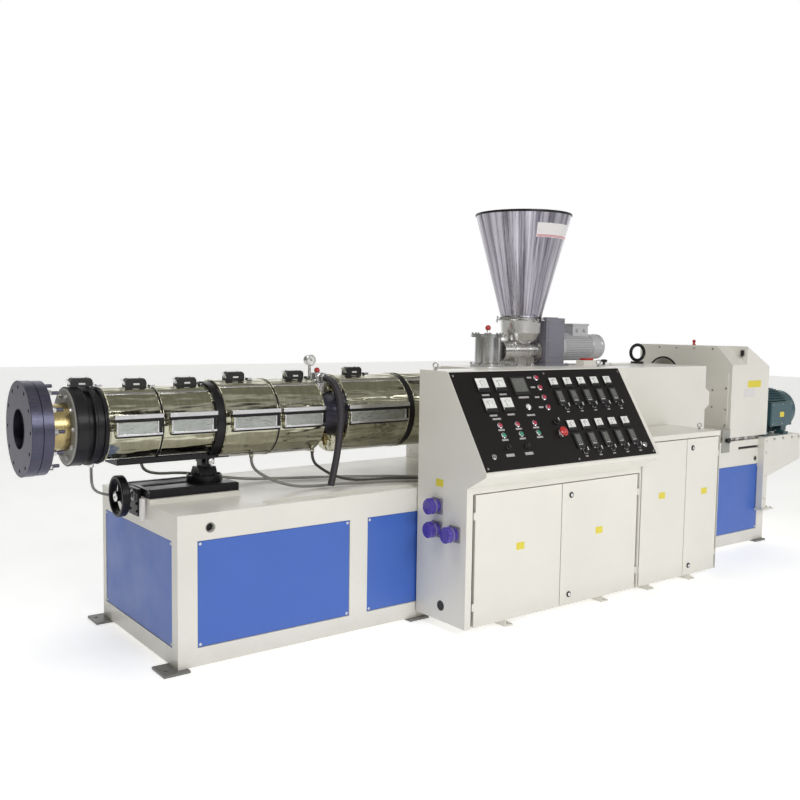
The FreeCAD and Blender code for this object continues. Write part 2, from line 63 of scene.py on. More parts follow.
def makeCamera():
    heading = math.radians(cameraSettings["heading"])
    tilt = math.radians(cameraSettings["tilt"])
    roll = math.radians(cameraSettings["roll"])
    ahead = Vector((math.sin(heading) * math.cos(tilt), math.cos(heading) * math.cos(tilt), -math.sin(tilt)))
    right = Vector((math.cos(heading), -math.sin(heading), 0))
    up = right.cross(ahead)
    rightRolled = right * math.cos(roll) + up * math.sin(roll)
    upRolled = up * math.cos(roll) - right * math.sin(roll)
    data = bpy.data.cameras.new("viewCamera")
    data.lens = cameraSettings["lens"]
    data.sensor_width = 36
    data.clip_end = 60
    camera = bpy.data.objects.new("viewCamera", data)
    turn = Matrix((rightRolled, upRolled, -ahead)).transposed()
    camera.matrix_world = Matrix.Translation(place(*cameraSettings["spot"])) @ turn.to_4x4()
    bpy.context.scene.collection.objects.link(camera)
    bpy.context.scene.camera = camera


makeCamera()
print("camera set")


# finishes
def newMaterial(name):
    material = bpy.data.materials.new(name)
    material.use_nodes = True
    tree = material.node_tree
    return material, tree, tree.nodes["Principled BSDF"]


def setInputs(tree, node, inputs):
    # fills sockets by name or number, with a plain value or a link from another node's output
    for key, value in inputs.items():
        if isinstance(value, bpy.types.NodeSocket):
            tree.links.new(value, node.inputs[key])
        else:
            node.inputs[key].default_value = value


def addNode(tree, kind, inputs, **traits):
    node = tree.nodes.new(kind)
    for trait, value in traits.items():
        setattr(node, trait, value)
    setInputs(tree, node, inputs)
    return node


def maths(tree, operation, first, second=0.0):
    return addNode(tree, "ShaderNodeMath", {0: first, 1: second}, operation=operation).outputs["Value"]


def separated(tree, vector):
    return addNode(tree, "ShaderNodeSeparateXYZ", {"Vector": vector}).outputs


def combined(tree, parts):
    return addNode(tree, "ShaderNodeCombineXYZ", parts).outputs["Vector"]


def objectCoordinates(tree, stretch=(1, 1, 1)):
    source = tree.nodes.new("ShaderNodeTexCoord")
    mapping = addNode(tree, "ShaderNodeMapping", {"Vector": source.outputs["Object"], "Scale": stretch})
    return mapping.outputs["Vector"]


def noise(tree, vector, scale, detail=3.0, roughness=0.55):
    sizes = {"Vector": vector, "Scale": scale, "Detail": detail, "Roughness": roughness}
    return addNode(tree, "ShaderNodeTexNoise", sizes).outputs["Fac"]


def ranged(tree, value, low, high, fromLow=0.3, fromHigh=0.7):
    ends = {"Value": value, "From Min": fromLow, "From Max": fromHigh, "To Min": low, "To Max": high}
    return addNode(tree, "ShaderNodeMapRange", ends).outputs["Result"]


def mixed(tree, factor, first, second):
    node = addNode(tree, "ShaderNodeMix", {"Factor": factor}, data_type="RGBA")
    ends = [socket for socket in node.inputs if socket.type == "RGBA"]
    for socket, value in zip(ends, (first, second)):
        if isinstance(value, tuple):
            socket.default_value = (*value, 1)
        else:
            tree.links.new(value, socket)
    return [socket for socket in node.outputs if socket.type == "RGBA"][0]


def bump(tree, shader, height, distance):
    lumps = addNode(tree, "ShaderNodeBump", {"Height": height, "Distance": distance, "Strength": 1.0})
    tree.links.new(lumps.outputs["Normal"], shader.inputs["Normal"])


def shade(colour, amount):
    return tuple(min(1.0, max(0.0, c * amount)) for c in colour)


paintSettings = {"dustColour": (0.34, 0.31, 0.27), "dustTop": 0.16, "grain": 0.00012, "grainScale": 420,
                 "coatRoughness": 0.12}


def paintFinish(name, colour, gloss=0.38, dust=0.35, coat=0.25, wear=0.25, sheen=0.5):
    # sprayed paint: slight tone drift, orange-peel grain, scuffs and dust near the floor
    material, tree, shader = newMaterial(name)
    vector = objectCoordinates(tree)
    drift = ranged(tree, noise(tree, vector, 1.7, 4), 0, 1)
    base = mixed(tree, drift, shade(colour, 0.96), shade(colour, 1.03))
    scuff = ranged(tree, noise(tree, objectCoordinates(tree, (1, 1, 5)), 14, 6, 0.7), 0, 1, 0.63, 0.72)
    worn = mixed(tree, ranged(tree, scuff, 0, wear, 0, 1), base, shade(colour, 0.72))
    low = ranged(tree, separated(tree, vector)["Z"], dust, 0, 0.0, paintSettings["dustTop"])
    cloud = maths(tree, "MULTIPLY", low, noise(tree, vector, 9, 5, 0.65))
    setInputs(tree, shader, {
        "Base Color": mixed(tree, cloud, worn, paintSettings["dustColour"]),
        "Roughness": ranged(tree, noise(tree, vector, 6, 5), gloss - 0.06, gloss + 0.1),
        "Coat Weight": coat, "Coat Roughness": paintSettings["coatRoughness"], "Specular IOR Level": sheen})
    bump(tree, shader, noise(tree, vector, paintSettings["grainScale"], 2), paintSettings["grain"])
    return material


def metalFinish(name, colour, rough, roughSpread, stretch, scale, wave, stain, stainColour=(0.2, 0.15, 0.1)):
    # bare metal: tool marks or brushing along one way, with faint stains
    material, tree, shader = newMaterial(name)
    streak = noise(tree, objectCoordinates(tree, stretch), scale, 4, 0.6)
    tone = mixed(tree, ranged(tree, streak, 0, 1), shade(colour, 0.9), shade(colour, 1.08))
    spots = ranged(tree, noise(tree, objectCoordinates(tree), 7, 6, 0.7), 0, stain, 0.5, 0.72)
    setInputs(tree, shader, {
        "Base Color": mixed(tree, spots, tone, stainColour), "Metallic": 1.0,
        "Roughness": ranged(tree, streak, rough - roughSpread / 2, rough + roughSpread / 2)})
    bump(tree, shader, streak, wave)
    return material


def plasticFinish(name, colour, gloss=0.45, coat=0.0):
    # moulded plastic or rubber: fine grain and handling marks
    material, tree, shader = newMaterial(name)
    vector = objectCoordinates(tree)
    drift = ranged(tree, noise(tree, vector, 35, 4), 0, 1)
    setInputs(tree, shader, {
        "Base Color": mixed(tree, drift, shade(colour, 0.86), shade(colour, 1.12)),
        "Roughness": ranged(tree, noise(tree, vector, 80, 3), gloss - 0.05, gloss + 0.1),
        "Coat Weight": coat})
    bump(tree, shader, noise(tree, vector, 900, 2), 0.00008)
    return material


def glowFinish(name, colour, strength):
    # lamp lens: glossy, with a faint light of its own
    material, tree, shader = newMaterial(name)
    drift = ranged(tree, noise(tree, objectCoordinates(tree), 160, 2), 0, 1)
    tone = mixed(tree, drift, shade(colour, 0.8), shade(colour, 1.1))
    setInputs(tree, shader, {"Base Color": tone, "Emission Color": tone, "Emission Strength": strength,
                             "Roughness": 0.18, "Coat Weight": 0.6})
    return material


def coverFinish():
    # mirror-polished sheet: long shallow waves along the barrel, light smears from wiping
    material, tree, shader = newMaterial("coverMirror")
    wavy = noise(tree, objectCoordinates(tree, (1.2, 7, 7)), 2.2, 2, 0.5)
    smear = noise(tree, objectCoordinates(tree, (3, 1, 1)), 9, 5, 0.7)
    # painted reflection: the base colour is darkened and tinted olive-yellow to stand in for the cream bed and
    # surroundings mirrored in the sheet; the smear noise that mixes the two tones is wiping marks
    tone = mixed(tree, ranged(tree, smear, 0, 1), (0.42, 0.41, 0.31), (0.58, 0.57, 0.44))
    setInputs(tree, shader,
              {"Base Color": tone, "Metallic": 1.0, "Roughness": ranged(tree, smear, 0.05, 0.16)})
    bump(tree, shader, wavy, 0.02)
    return material


def hopperFinish():
    # polished sheet rolled into a cone: a painted reflection, dark and bright bands that run up its sides
    # painted into the base colour; the same bands also vary roughness and bumps
    material, tree, shader = newMaterial("hopperMirror")
    fromAxis = addNode(tree, "ShaderNodeVectorMath",
                       {0: objectCoordinates(tree), 1: tuple(place(*hopperAxis, 0))}, operation="SUBTRACT")
    split = separated(tree, fromAxis.outputs["Vector"])
    aroundAxis = maths(tree, "ARCTAN2", split["Y"], split["X"])
    slow = maths(tree, "MULTIPLY", split["Z"], 0.12)
    paintedReflectionBands = noise(tree, combined(tree, {"X": aroundAxis, "Z": slow}), 5.5, 5, 0.7)
    # painted reflection: the bands swing the base colour from near black to bright
    tone = mixed(tree, ranged(tree, paintedReflectionBands, 0, 1, 0.36, 0.64), (0.11, 0.10, 0.13), (0.62, 0.60, 0.67))
    setInputs(tree, shader,
              {"Base Color": tone, "Metallic": 1.0, "Roughness": ranged(tree, paintedReflectionBands, 0.08, 0.2)})
    bump(tree, shader, paintedReflectionBands, 0.006)
    return material


def conduitFinish(name, colour, ribScale, metallic):
    # ribs run round the tube: the pattern follows the curve's own length
    material, tree, shader = newMaterial(name)
    along = separated(tree, tree.nodes.new("ShaderNodeTexCoord").outputs["UV"])["X"]
    wave = maths(tree, "SINE", maths(tree, "MULTIPLY", along, ribScale))
    vector = objectCoordinates(tree)
    rib = ranged(tree, wave, 0, 1, -1, 1)
    # painted shade and highlight: the base colour is darker in the rib grooves and lighter on the crests,
    # following the same wave as the bump
    ribbedWithGrooveShade = mixed(tree, rib, shade(colour, 0.62), shade(colour, 1.1))
    drift = ranged(tree, noise(tree, vector, 22, 4), 0, 0.5)
    setInputs(tree, shader, {
        "Base Color": mixed(tree, drift, ribbedWithGrooveShade, shade(colour, 0.8)), "Metallic": metallic,
        "Roughness": ranged(tree, noise(tree, vector, 60, 3), 0.34, 0.5)})
    bump(tree, shader, rib, 0.0012)
    return material


creamPaint = paintFinish("creamPaint", (0.79, 0.77, 0.71), gloss=0.36)
bluePaint = paintFinish("bluePaint", (0.048, 0.135, 0.52), gloss=0.36, dust=0.15, coat=0.15, wear=0.12)
blackPaint = paintFinish("blackPaint", (0.008, 0.007, 0.009), gloss=0.32, dust=0.03, coat=0.05, sheen=0.3)
greyPaint = paintFinish("greyPaint", (0.23, 0.225, 0.27), gloss=0.4, dust=0.0)
tealPaint = paintFinish("tealPaint", (0.045, 0.105, 0.125), gloss=0.36, dust=0.0, coat=0.3)
silverPaint = paintFinish("silverPaint", (0.56, 0.56, 0.58), gloss=0.34, dust=0.0, coat=0.3)
panelBlack = paintFinish("panelBlack", (0.009, 0.007, 0.007), gloss=0.4, dust=0.0, coat=0.0, sheen=0.22)
plateGrey = paintFinish("plateGrey", (0.34, 0.34, 0.31), gloss=0.55)
darkPlate = paintFinish("darkPlate", (0.13, 0.13, 0.125), gloss=0.5, dust=0.3)
yellowPlate = paintFinish("yellowPlate", (0.78, 0.66, 0.05), gloss=0.4, dust=0.0)
palePlate = paintFinish("palePlate", (0.74, 0.72, 0.72), gloss=0.35, dust=0.0)
pinkPlate = paintFinish("pinkPlate", (0.62, 0.34, 0.36), gloss=0.4, dust=0.0)
coverMirror = coverFinish()
hopperMirror = hopperFinish()
nitridedSteel = metalFinish("nitridedSteel", (0.085, 0.085, 0.125), 0.36, 0.12, (1, 6, 6), 30, 0.0003, 0.4,
                            (0.17, 0.13, 0.12))
brassMetal = metalFinish("brassMetal", (0.50, 0.40, 0.19), 0.3, 0.12, (8, 1, 1), 26, 0.0003,
                         0.35, (0.2, 0.14, 0.08))
bareSteel = metalFinish("bareSteel", (0.62, 0.61, 0.60), 0.26, 0.08, (6, 1, 1), 12, 0.000004, 0.1)
castSteel = metalFinish("castSteel", (0.50, 0.49, 0.49), 0.36, 0.1, (1, 1, 1), 30, 0.00006, 0.2)
satinSteel = metalFinish("satinSteel", (0.44, 0.46, 0.44), 0.34, 0.24, (2, 8, 8), 16,
                         0.002, 0.3, (0.18, 0.2, 0.19))
chromeMetal = metalFinish("chromeMetal", (0.76, 0.76, 0.78), 0.14, 0.06, (1, 1, 0.3), 14, 0.000004, 0.05)
blackPlastic = plasticFinish("blackPlastic", (0.010, 0.010, 0.011), 0.42, 0.05)
whitePlastic = plasticFinish("whitePlastic", (0.80, 0.80, 0.78), 0.4)
greyScreen = plasticFinish("greyScreen", (0.13, 0.13, 0.125), 0.3, 0.3)
labelGrey = plasticFinish("labelGrey", (0.42, 0.41, 0.41), 0.4)
violetPlastic = plasticFinish("violetPlastic", (0.075, 0.045, 0.36), 0.3, 0.3)
redPlastic = plasticFinish("redPlastic", (0.50, 0.02, 0.02), 0.25, 0.6)
redLamp = glowFinish("redLamp", (0.42, 0.02, 0.06), 0.08)
greenLamp = glowFinish("greenLamp", (0.02, 0.26, 0.15), 0.05)
steelConduit = conduitFinish("steelConduit", (0.45, 0.44, 0.41), 1500, 0.6)
darkConduit = conduitFinish("darkConduit", (0.12, 0.115, 0.11), 1300, 0.2)
hoseRubber = conduitFinish("hoseRubber", (0.035, 0.030, 0.036), 420, 0.0)
gaugeFace = plasticFinish("gaugeFace", (0.82, 0.82, 0.80), 0.2, 0.8)

nodeFinish = {
    creamPaint: ("bed_frame", "rear_base", "gearbox_cover", "control_cabinet", "control_console",
                 "drive_cabinet", "cabinet_door_left", "cabinet_door_right", "drive_door_left",
                 "drive_door_right", "belt_guard", "motor_bracket", "cable_post"),
    bluePaint: ("bed_panels", "base_panels"),
    blackPaint: ("slide_rail", "barrel_support", "handwheel_bracket", "handwheel",
                 "barrel_flange", "clamp_ring", "lifting_ring"),
    darkPlate: ("foot_pads",),
    nitridedSteel: ("die_flange", "barrel"),
    brassMetal: ("die_adapter",),
    coverMirror: tuple("heater_cover_%d" % i for i in range(1, 7)) + ("cover_ducts",),
    hopperMirror: ("hopper",),
    chromeMetal: ("inspection_pot",),
    bareSteel: ("vent_port", "input_shaft", "feed_throat", "water_pipes"),
    blackPlastic: ("terminal_boxes",),
    greyPaint: ("feeder_gearbox",),
    silverPaint: ("feeder_motor",),
    panelBlack: ("control_panel",),
    violetPlastic: ("power_sockets",),
    tealPaint: ("main_motor",),
}
for finish, names in nodeFinish.items():
    for name in names:
        nodes[name].data.materials.clear()
        nodes[name].data.materials.append(finish)
print("finishes ready")

# hose, conduits and sensor lead
cordRoutes = {
    "vacuumHose": [(1062, 440, 1336), (1062, 352, 1336), (1056, 268, 1272), (1042, 214, 1170),
                   (1020, 198, 1060), (1000, 188, 950), (976, 184, 850), (948, 172, 772)],
    "conduitFirst": [(60, 605, 956), (60, 605, 902), (100, 634, 858), (184, 668, 834), (300, 700, 826),
                     (440, 712, 806), (580, 700, 775), (730, 670, 756), (900, 620, 753), (1070, 560, 752),
                     (1240, 480, 753), (1390, 400, 753), (1530, 310, 753), (1640, 215, 754),
                     (1720, 120, 755), (1740, 40, 756), (1740, -10, 756)],
    "conduitSecond": [(582, 385, 930), (582, 385, 880), (622, 350, 836), (696, 322, 796), (800, 304, 762),
                      (930, 302, 752), (1080, 290, 753), (1240, 266, 752), (1400, 216, 753),
                      (1530, 136, 753), (1600, 57, 756), (1600, -10, 756)],
    "conduitThird": [(960, 385, 930), (960, 385, 878), (1000, 354, 836), (1074, 340, 792), (1176, 332, 760),
                     (1310, 318, 752), (1450, 272, 753), (1580, 198, 752), (1660, 110, 755),
                     (1670, 37, 756), (1670, -10, 756)],
    "sensorLead": [(-227, 505, 935), (-227, 505, 892), (-222, 516, 848), (-204, 550, 812), (-174, 592, 786),
                   (-136, 630, 766), (-92, 660, 750), (-44, 670, 734), (0, 670, 734)],
}
cordSettings = {
    "vacuumHose": ("vacuum_hose", 38, 0.717, "bare", "stiff", hoseRubber),
    "conduitFirst": ("conduit_1", 16, 2.050, "object", "limp", steelConduit),
    "conduitSecond": ("conduit_2", 16, 1.245, "object", "limp", steelConduit),
    "conduitThird": ("conduit_3", 16, 0.975, "object", "limp", darkConduit),
    "sensorLead": ("sensor_lead", 14, 0.405, "object", "limp", steelConduit),
}


def makeCord(name):
    node, diameter, length, farEnd, stiffness, finish = cordSettings[name]
    curve = bpy.data.curves.new(name, "CURVE")
    curve.dimensions = "3D"
    curve.bevel_depth = diameter / 2000
    curve.bevel_resolution = 5
    curve.use_fill_caps = True
    spline = curve.splines.new("NURBS")
    route = cordRoutes[name]
    spline.points.add(len(route) - 1)
    for point, spot in zip(spline.points, route):
        point.co = (*place(*spot), 1)
    spline.order_u = 3
    spline.use_endpoint_u = True
    spline.resolution_u = 8
    curve.materials.append(finish)
    cord = bpy.data.objects.new(name, curve)
    bpy.context.scene.collection.objects.link(cord)
    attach(cord, "machine")
    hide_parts(node)


for cordName in cordRoutes:
    makeCord(cordName)
print("hose, conduits and lead laid")


# mesh helpers: shapes are gathered in one bmesh for each piece
def addBox(bm, x0, x1, y0, y1, z0, z1, turn=None):
    made = bmesh.ops.create_cube(bm, size=1)["verts"]
    middle = Vector(((x0 + x1) / 2, (y0 + y1) / 2, (z0 + z1) / 2))
    size = Vector((x1 - x0, y1 - y0, z1 - z0))
    for v in made:
        v.co = Vector((v.co.x * size.x, v.co.y * size.y, v.co.z * size.z))
        if turn:
            v.co = turn @ v.co
        v.co = place(*(middle + v.co))


def axisTurn(axis):
    return Vector(upward).rotation_difference(Vector(axis).normalized()).to_matrix()


def addTurned(bm, spot, axis, outline, steps=32):
    # outline of (radius, height) pairs turned about axis from spot; ends close on the axis
    turn = axisTurn(axis)
    start = Vector(spot)
    rings = []
    for radius, height in outline:
        if radius <= 0:
            rings.append([bm.verts.new(place(*(start + turn @ Vector((0, 0, height)))))])
        else:
            ring = []
            for i in range(steps):
                angle = 2 * math.pi * i / steps
                local = Vector((radius * math.cos(angle), radius * math.sin(angle), height))
                ring.append(bm.verts.new(place(*(start + turn @ local))))
            rings.append(ring)
    for lower, upper in zip(rings, rings[1:]):
        for i in range(steps):
            j = (i + 1) % steps
            corners = []
            for vert in (lower[i % len(lower)], lower[j % len(lower)],
                         upper[j % len(upper)], upper[i % len(upper)]):
                if vert not in corners:
                    corners.append(vert)
            if len(corners) > 2:
                bm.faces.new(corners)


def addRod(bm, spot, axis, radius, length, chamfer=0.0, steps=24):
    edge = min(chamfer, radius * 0.5, length * 0.45)
    outline = [(0, 0), (radius - edge, 0), (radius, edge), (radius, length - edge),
               (radius - edge, length), (0, length)]
    if edge == 0:
        outline = [(0, 0), (radius, 0), (radius, length), (0, length)]
    addTurned(bm, spot, axis, outline, steps)


def addRing(bm, middle, axis, radius, thickness, steps=40, sides=10):
    # a torus of round section
    turn = axisTurn(axis)
    rings = []
    for i in range(steps):
        angle = 2 * math.pi * i / steps
        outward = Vector((math.cos(angle), math.sin(angle), 0))
        ring = []
        for j in range(sides):
            side = 2 * math.pi * j / sides
            local = outward * (radius
                               + thickness * math.cos(side)) + Vector((0, 0, thickness * math.sin(side)))
            ring.append(bm.verts.new(place(*(Vector(middle) + turn @ local))))
        rings.append(ring)
    for i in range(steps):
        for j in range(sides):
            near, far = rings[i], rings[(i + 1) % steps]
            bm.faces.new((near[j], near[(j + 1) % sides], far[(j + 1) % sides], far[j]))


def addBall(bm, spot, radius):
    outline = [(0, -radius)]
    for i in range(1, 10):
        angle = math.pi * (i / 10 - 0.5)
        outline.append((radius * math.cos(angle), radius * math.sin(angle)))
    outline.append((0, radius))
    addTurned(bm, spot, upward, outline, 20)


def addPlate(bm, points, depth):
    # a flat outline of machine points, thickened along its own normal
    base = [bm.verts.new(place(*p)) for p in points]
    normal = (Vector(points[1]) - Vector(points[0])).cross(Vector(points[2]) - Vector(points[1])).normalized()
    top = [bm.verts.new(place(*(Vector(p) + normal * depth))) for p in points]
    bm.faces.new(base)
    bm.faces.new(top)
    for i in range(len(points)):
        j = (i + 1) % len(points)
        bm.faces.new((base[i], base[j], top[j], top[i]))


def finishPiece(bm, name, finish, body="machine", bevel=0.8):
    bmesh.ops.recalc_face_normals(bm, faces=bm.faces)
    mesh = bpy.data.meshes.new(name)
    bm.to_mesh(mesh)
    bm.free()
    mesh.materials.append(finish)
    piece = bpy.data.objects.new(name, mesh)
    bpy.context.scene.collection.objects.link(piece)
    if bevel:
        rounding = piece.modifiers.new("rounding", "BEVEL")
        rounding.width = bevel / 1000
        rounding.segments = 2
        rounding.limit_method = "ANGLE"
        rounding.angle_limit = math.radians(40)
    mesh.shade_smooth()
    mesh.set_sharp_from_angle(angle=math.radians(40))
    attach(piece, body)


def makePiece(name, finish, addShape, shapes, **look):
    # one piece out of several shapes of a kind
    bm = bmesh.new()
    for shape in shapes:
        addShape(bm, *shape)
    finishPiece(bm, name, finish, **look)


# Geometry Nodes: screws, fins and beads that repeat
def newTree(name, sizes):
    tree = bpy.data.node_groups.new(name, "GeometryNodeTree")
    tree.interface.new_socket("Geometry", in_out="INPUT", socket_type="NodeSocketGeometry")
    kinds = {float: "NodeSocketFloat", int: "NodeSocketInt", tuple: "NodeSocketVector"}
    for label, value in sizes.items():
        socket = tree.interface.new_socket(label, in_out="INPUT", socket_type=kinds[type(value)])
        socket.default_value = value
    tree.interface.new_socket("Finish", in_out="INPUT", socket_type="NodeSocketMaterial")
    tree.interface.new_socket("Geometry", in_out="OUTPUT", socket_type="NodeSocketGeometry")
    return tree, tree.nodes.new("NodeGroupInput"), tree.nodes.new("NodeGroupOutput")


def closeTree(tree, start, end, points, instance, rotation):
    # puts the shape on every point, then makes it real and gives it its finish
    spread = addNode(tree, "GeometryNodeInstanceOnPoints",
                     {"Points": points, "Instance": instance, "Rotation": rotation})
    whole = addNode(tree, "GeometryNodeRealizeInstances", {"Geometry": spread.outputs["Instances"]})
    paint = addNode(tree, "GeometryNodeSetMaterial",
                    {"Geometry": whole.outputs["Geometry"], "Material": start.outputs["Finish"]})
    tree.links.new(paint.outputs["Geometry"], end.inputs["Geometry"])
    return tree


def cylinderNode(tree, sides, radius, depth, lift):
    rod = addNode(tree, "GeometryNodeMeshCylinder", {"Vertices": sides, "Radius": radius, "Depth": depth})
    moved = addNode(tree, "GeometryNodeTransform",
                    {"Geometry": rod.outputs["Mesh"], "Translation": combined(tree, {"Z": lift})})
    return moved.outputs["Geometry"]


def eulerTurn(tree, parts):
    return addNode(tree, "FunctionNodeEulerToRotation", {"Euler": combined(tree, parts)}).outputs["Rotation"]


def makeScrewTree():
    # washer, head and a raised centre on every point, each turned a little differently
    tree, start, end = newTree("screwRows", {"Head Radius": 0.008, "Head Height": 0.006,
                                             "Washer Height": 0.0015, "Sides": 6, "Direction": toFront})
    radius, height, washer = (start.outputs[k] for k in ("Head Radius", "Head Height", "Washer Height"))
    roundSides = 18
    flat = cylinderNode(tree, roundSides, maths(tree, "MULTIPLY", radius, 1.3), washer,
                        maths(tree, "MULTIPLY", washer, 0.5))
    head = cylinderNode(tree, start.outputs["Sides"], radius, height,
                        maths(tree, "ADD", washer, maths(tree, "MULTIPLY", height, 0.5)))
    crown = cylinderNode(tree, roundSides, maths(tree, "MULTIPLY", radius, 0.52),
                         maths(tree, "MULTIPLY", height, 0.3),
                         maths(tree, "ADD", washer, maths(tree, "MULTIPLY", height, 1.12)))
    joined = tree.nodes.new("GeometryNodeJoinGeometry")
    for part in (flat, head, crown):
        tree.links.new(part, joined.inputs["Geometry"])
    align = addNode(tree, "FunctionNodeAlignRotationToVector",
                    {"Vector": start.outputs["Direction"]}, axis="Z")
    chance = addNode(tree, "FunctionNodeRandomValue", {"Seed": 11}, data_type="FLOAT")
    amount = [socket for socket in chance.outputs if socket.type == "VALUE" and socket.enabled][0]
    spin = eulerTurn(tree, {"Z": maths(tree, "MULTIPLY", amount, 3.0)})
    turned = addNode(tree, "FunctionNodeRotateRotation",
                     {"Rotation": align.outputs["Rotation"], "Rotate By": spin}, rotation_space="LOCAL")
    return closeTree(tree, start, end, start.outputs["Geometry"], joined.outputs["Geometry"],
                     turned.outputs["Rotation"])


def makeFinTree():
    # cooling fins that stand out from a round motor body, spread over an arc about the X axis
    tree, start, end = newTree("motorFins", {"Count": 24, "Body Radius": 0.15, "Fin Size": (0.3, 0.004, 0.012),
                                             "Start Angle": 0.0, "Sweep": 6.28})
    line = addNode(tree, "GeometryNodeMeshLine", {"Count": start.outputs["Count"]})
    index = tree.nodes.new("GeometryNodeInputIndex").outputs["Index"]
    step = maths(tree, "DIVIDE", start.outputs["Sweep"], start.outputs["Count"])
    angle = maths(tree, "ADD", start.outputs["Start Angle"], maths(tree, "MULTIPLY", index, step))
    radius = start.outputs["Body Radius"]
    spot = combined(tree, {"Y": maths(tree, "MULTIPLY", maths(tree, "COSINE", angle), radius),
                           "Z": maths(tree, "MULTIPLY", maths(tree, "SINE", angle), radius)})
    middle = addNode(tree, "GeometryNodeSampleIndex", {
        "Geometry": start.outputs["Geometry"],
        "Value": tree.nodes.new("GeometryNodeInputPosition").outputs["Position"]}, data_type="FLOAT_VECTOR")
    total = addNode(tree, "ShaderNodeVectorMath", {0: spot, 1: middle.outputs["Value"]}, operation="ADD")
    put = addNode(tree, "GeometryNodeSetPosition",
                  {"Geometry": line.outputs["Mesh"], "Position": total.outputs["Vector"]})
    fin = addNode(tree, "GeometryNodeMeshCube", {"Size": start.outputs["Fin Size"]})
    lean = eulerTurn(tree, {"X": maths(tree, "SUBTRACT", angle, math.pi / 2)})
    return closeTree(tree, start, end, put.outputs["Geometry"], fin.outputs["Mesh"], lean)


def makeBeadTree():
    # round beads about the barrel line at every point: rolled edges of the covers
    tree, start, end = newTree("coverBeads", {"Ring Radius": 0.2, "Bead Radius": 0.003})
    circle = "GeometryNodeCurvePrimitiveCircle"
    ring = addNode(tree, circle, {"Resolution": 96, "Radius": start.outputs["Ring Radius"]})
    profile = addNode(tree, circle, {"Resolution": 8, "Radius": start.outputs["Bead Radius"]})
    sweep = addNode(tree, "GeometryNodeCurveToMesh",
                    {"Curve": ring.outputs["Curve"], "Profile Curve": profile.outputs["Curve"]})
    smooth = addNode(tree, "GeometryNodeSetShadeSmooth", {"Geometry": sweep.outputs["Mesh"]})
    return closeTree(tree, start, end, start.outputs["Geometry"], smooth.outputs["Geometry"],
                     (0, math.pi / 2, 0))


screwTree = makeScrewTree()
finTree = makeFinTree()
beadTree = makeBeadTree()


def grow(name, tree, spots, sizes, finish):
    # runs a tree on a few points and keeps the result as a plain mesh
    seedMesh = bpy.data.meshes.new(name + "Points")
    seedMesh.from_pydata([place(*spot) for spot in spots], [], [])
    holder = bpy.data.objects.new(name + "Holder", seedMesh)
    bpy.context.scene.collection.objects.link(holder)
    modifier = holder.modifiers.new("grow", "NODES")
    modifier.node_group = tree
    wanted = dict(sizes)
    wanted["Finish"] = finish
    for item in tree.interface.items_tree:
        if item.in_out == "INPUT" and item.name in wanted:
            modifier[item.identifier] = wanted[item.name]
    bpy.context.view_layer.update()
    graph = bpy.context.evaluated_depsgraph_get()
    mesh = bpy.data.meshes.new_from_object(holder.evaluated_get(graph), depsgraph=graph)
    mesh.name = name
    bpy.data.objects.remove(holder)
    mesh.materials.clear()
    mesh.materials.append(finish)
    piece = bpy.data.objects.new(name, mesh)
    bpy.context.scene.collection.objects.link(piece)
    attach(piece, "machine")


def screws(name, spots, direction, radius, height, sides=6, finish=bareSteel, washer=1.5):
    sizes = {"Head Radius": radius / 1000, "Head Height": height / 1000, "Washer Height": washer / 1000,
             "Sides": sides, "Direction": direction}
    grow(name, screwTree, spots, sizes, finish)


def aroundX(x, y, z, radius, count, first=0.0):
    spots = []
    for i in range(count):
        angle = math.radians(first + 360 * i / count)
        spots.append((x, y + radius * math.sin(angle), z + radius * math.cos(angle)))
    return spots


def aroundZ(x, y, z, radius, count, first=0.0):
    spots = []
    for i in range(count):
        angle = math.radians(first + 360 * i / count)
        spots.append((x + radius * math.cos(angle), y + radius * math.sin(angle), z))
    return spots


print("trees built")

# die end
dieSettings = {"axis": (505, 1130), "boltCircle": 197, "bolts": 12, "face": -560, "flange": -354}
axisY, axisZ = dieSettings["axis"]


def makeDieEnd():
    backBolts = aroundX(dieSettings["face"] + 100, axisY, axisZ,
                        dieSettings["boltCircle"], dieSettings["bolts"])
    screws("dieBackNuts", backBolts, toMotor, 16, 15, washer=3)
    makePiece("dieStuds", nitridedSteel, addRod, [
        ((x, y, z), toMotor, 8.6, 52, 1.5, 14) for x, y, z in backBolts], bevel=0)
    makePiece("dieEdgeLines", nitridedSteel, addRing, [
        ((dieSettings["face"] + 1, axisY, axisZ), toMotor, 225, 1.4, 90, 6),
        ((dieSettings["face"], axisY, axisZ), toMotor, 96, 1.2, 60, 6)], bevel=0)
    # heads of the black flange behind the adapter
    screws("flangeFrontBolts", aroundX(dieSettings["flange"], axisY, axisZ, 150, 10, 18), toDie, 11,
           8, 6, castSteel, washer=2)
    makePiece("flangeFacePlate", plateGrey, addTurned, [
        ((dieSettings["flange"], axisY, axisZ), toMotor,
         [(116, 6), (116, 0), (178, 0), (184, 6)], 72)], bevel=0)
    makePiece("flangeRings", blackPaint, addRing, [
        ((x, axisY, axisZ), toMotor, radius, 1.8, 80, 6)
        for x, radius in ((-345, 190), (-292, 190), (-251, 192.5), (-206, 189))], bevel=0)
    # sensor plug under the rings
    makePiece("sensorPlug", chromeMetal, addTurned, [
        ((-227, axisY, 925), upward,
         [(0, 0), (12, 0), (13, 3), (13, 14), (17, 16), (17, 26), (11, 30), (11, 40)], 24)], bevel=0)


makeDieEnd()


# heater covers: rolled beads, seam strips, cable ducts and connection boxes
coverSettings = {"spans": [(-195, 66, 184), (70, 350, 184), (395, 703, 207),
                           (707, 991, 207), (1133, 1563, 221), (1603, 2100, 221)], "bead": 2.6}
ductSettings = {"spans": [(-168, 58, 184), (107, 346, 184), (432, 698, 207),
                          (730, 984, 207), (1140, 1545, 221)],
                "half": 38, "proud": 14}
boxSettings = {"spots": [(-275, 192), (-7, 184), (262, 184), (537, 207), (905, 207), (1300, 221)], "high": 40}


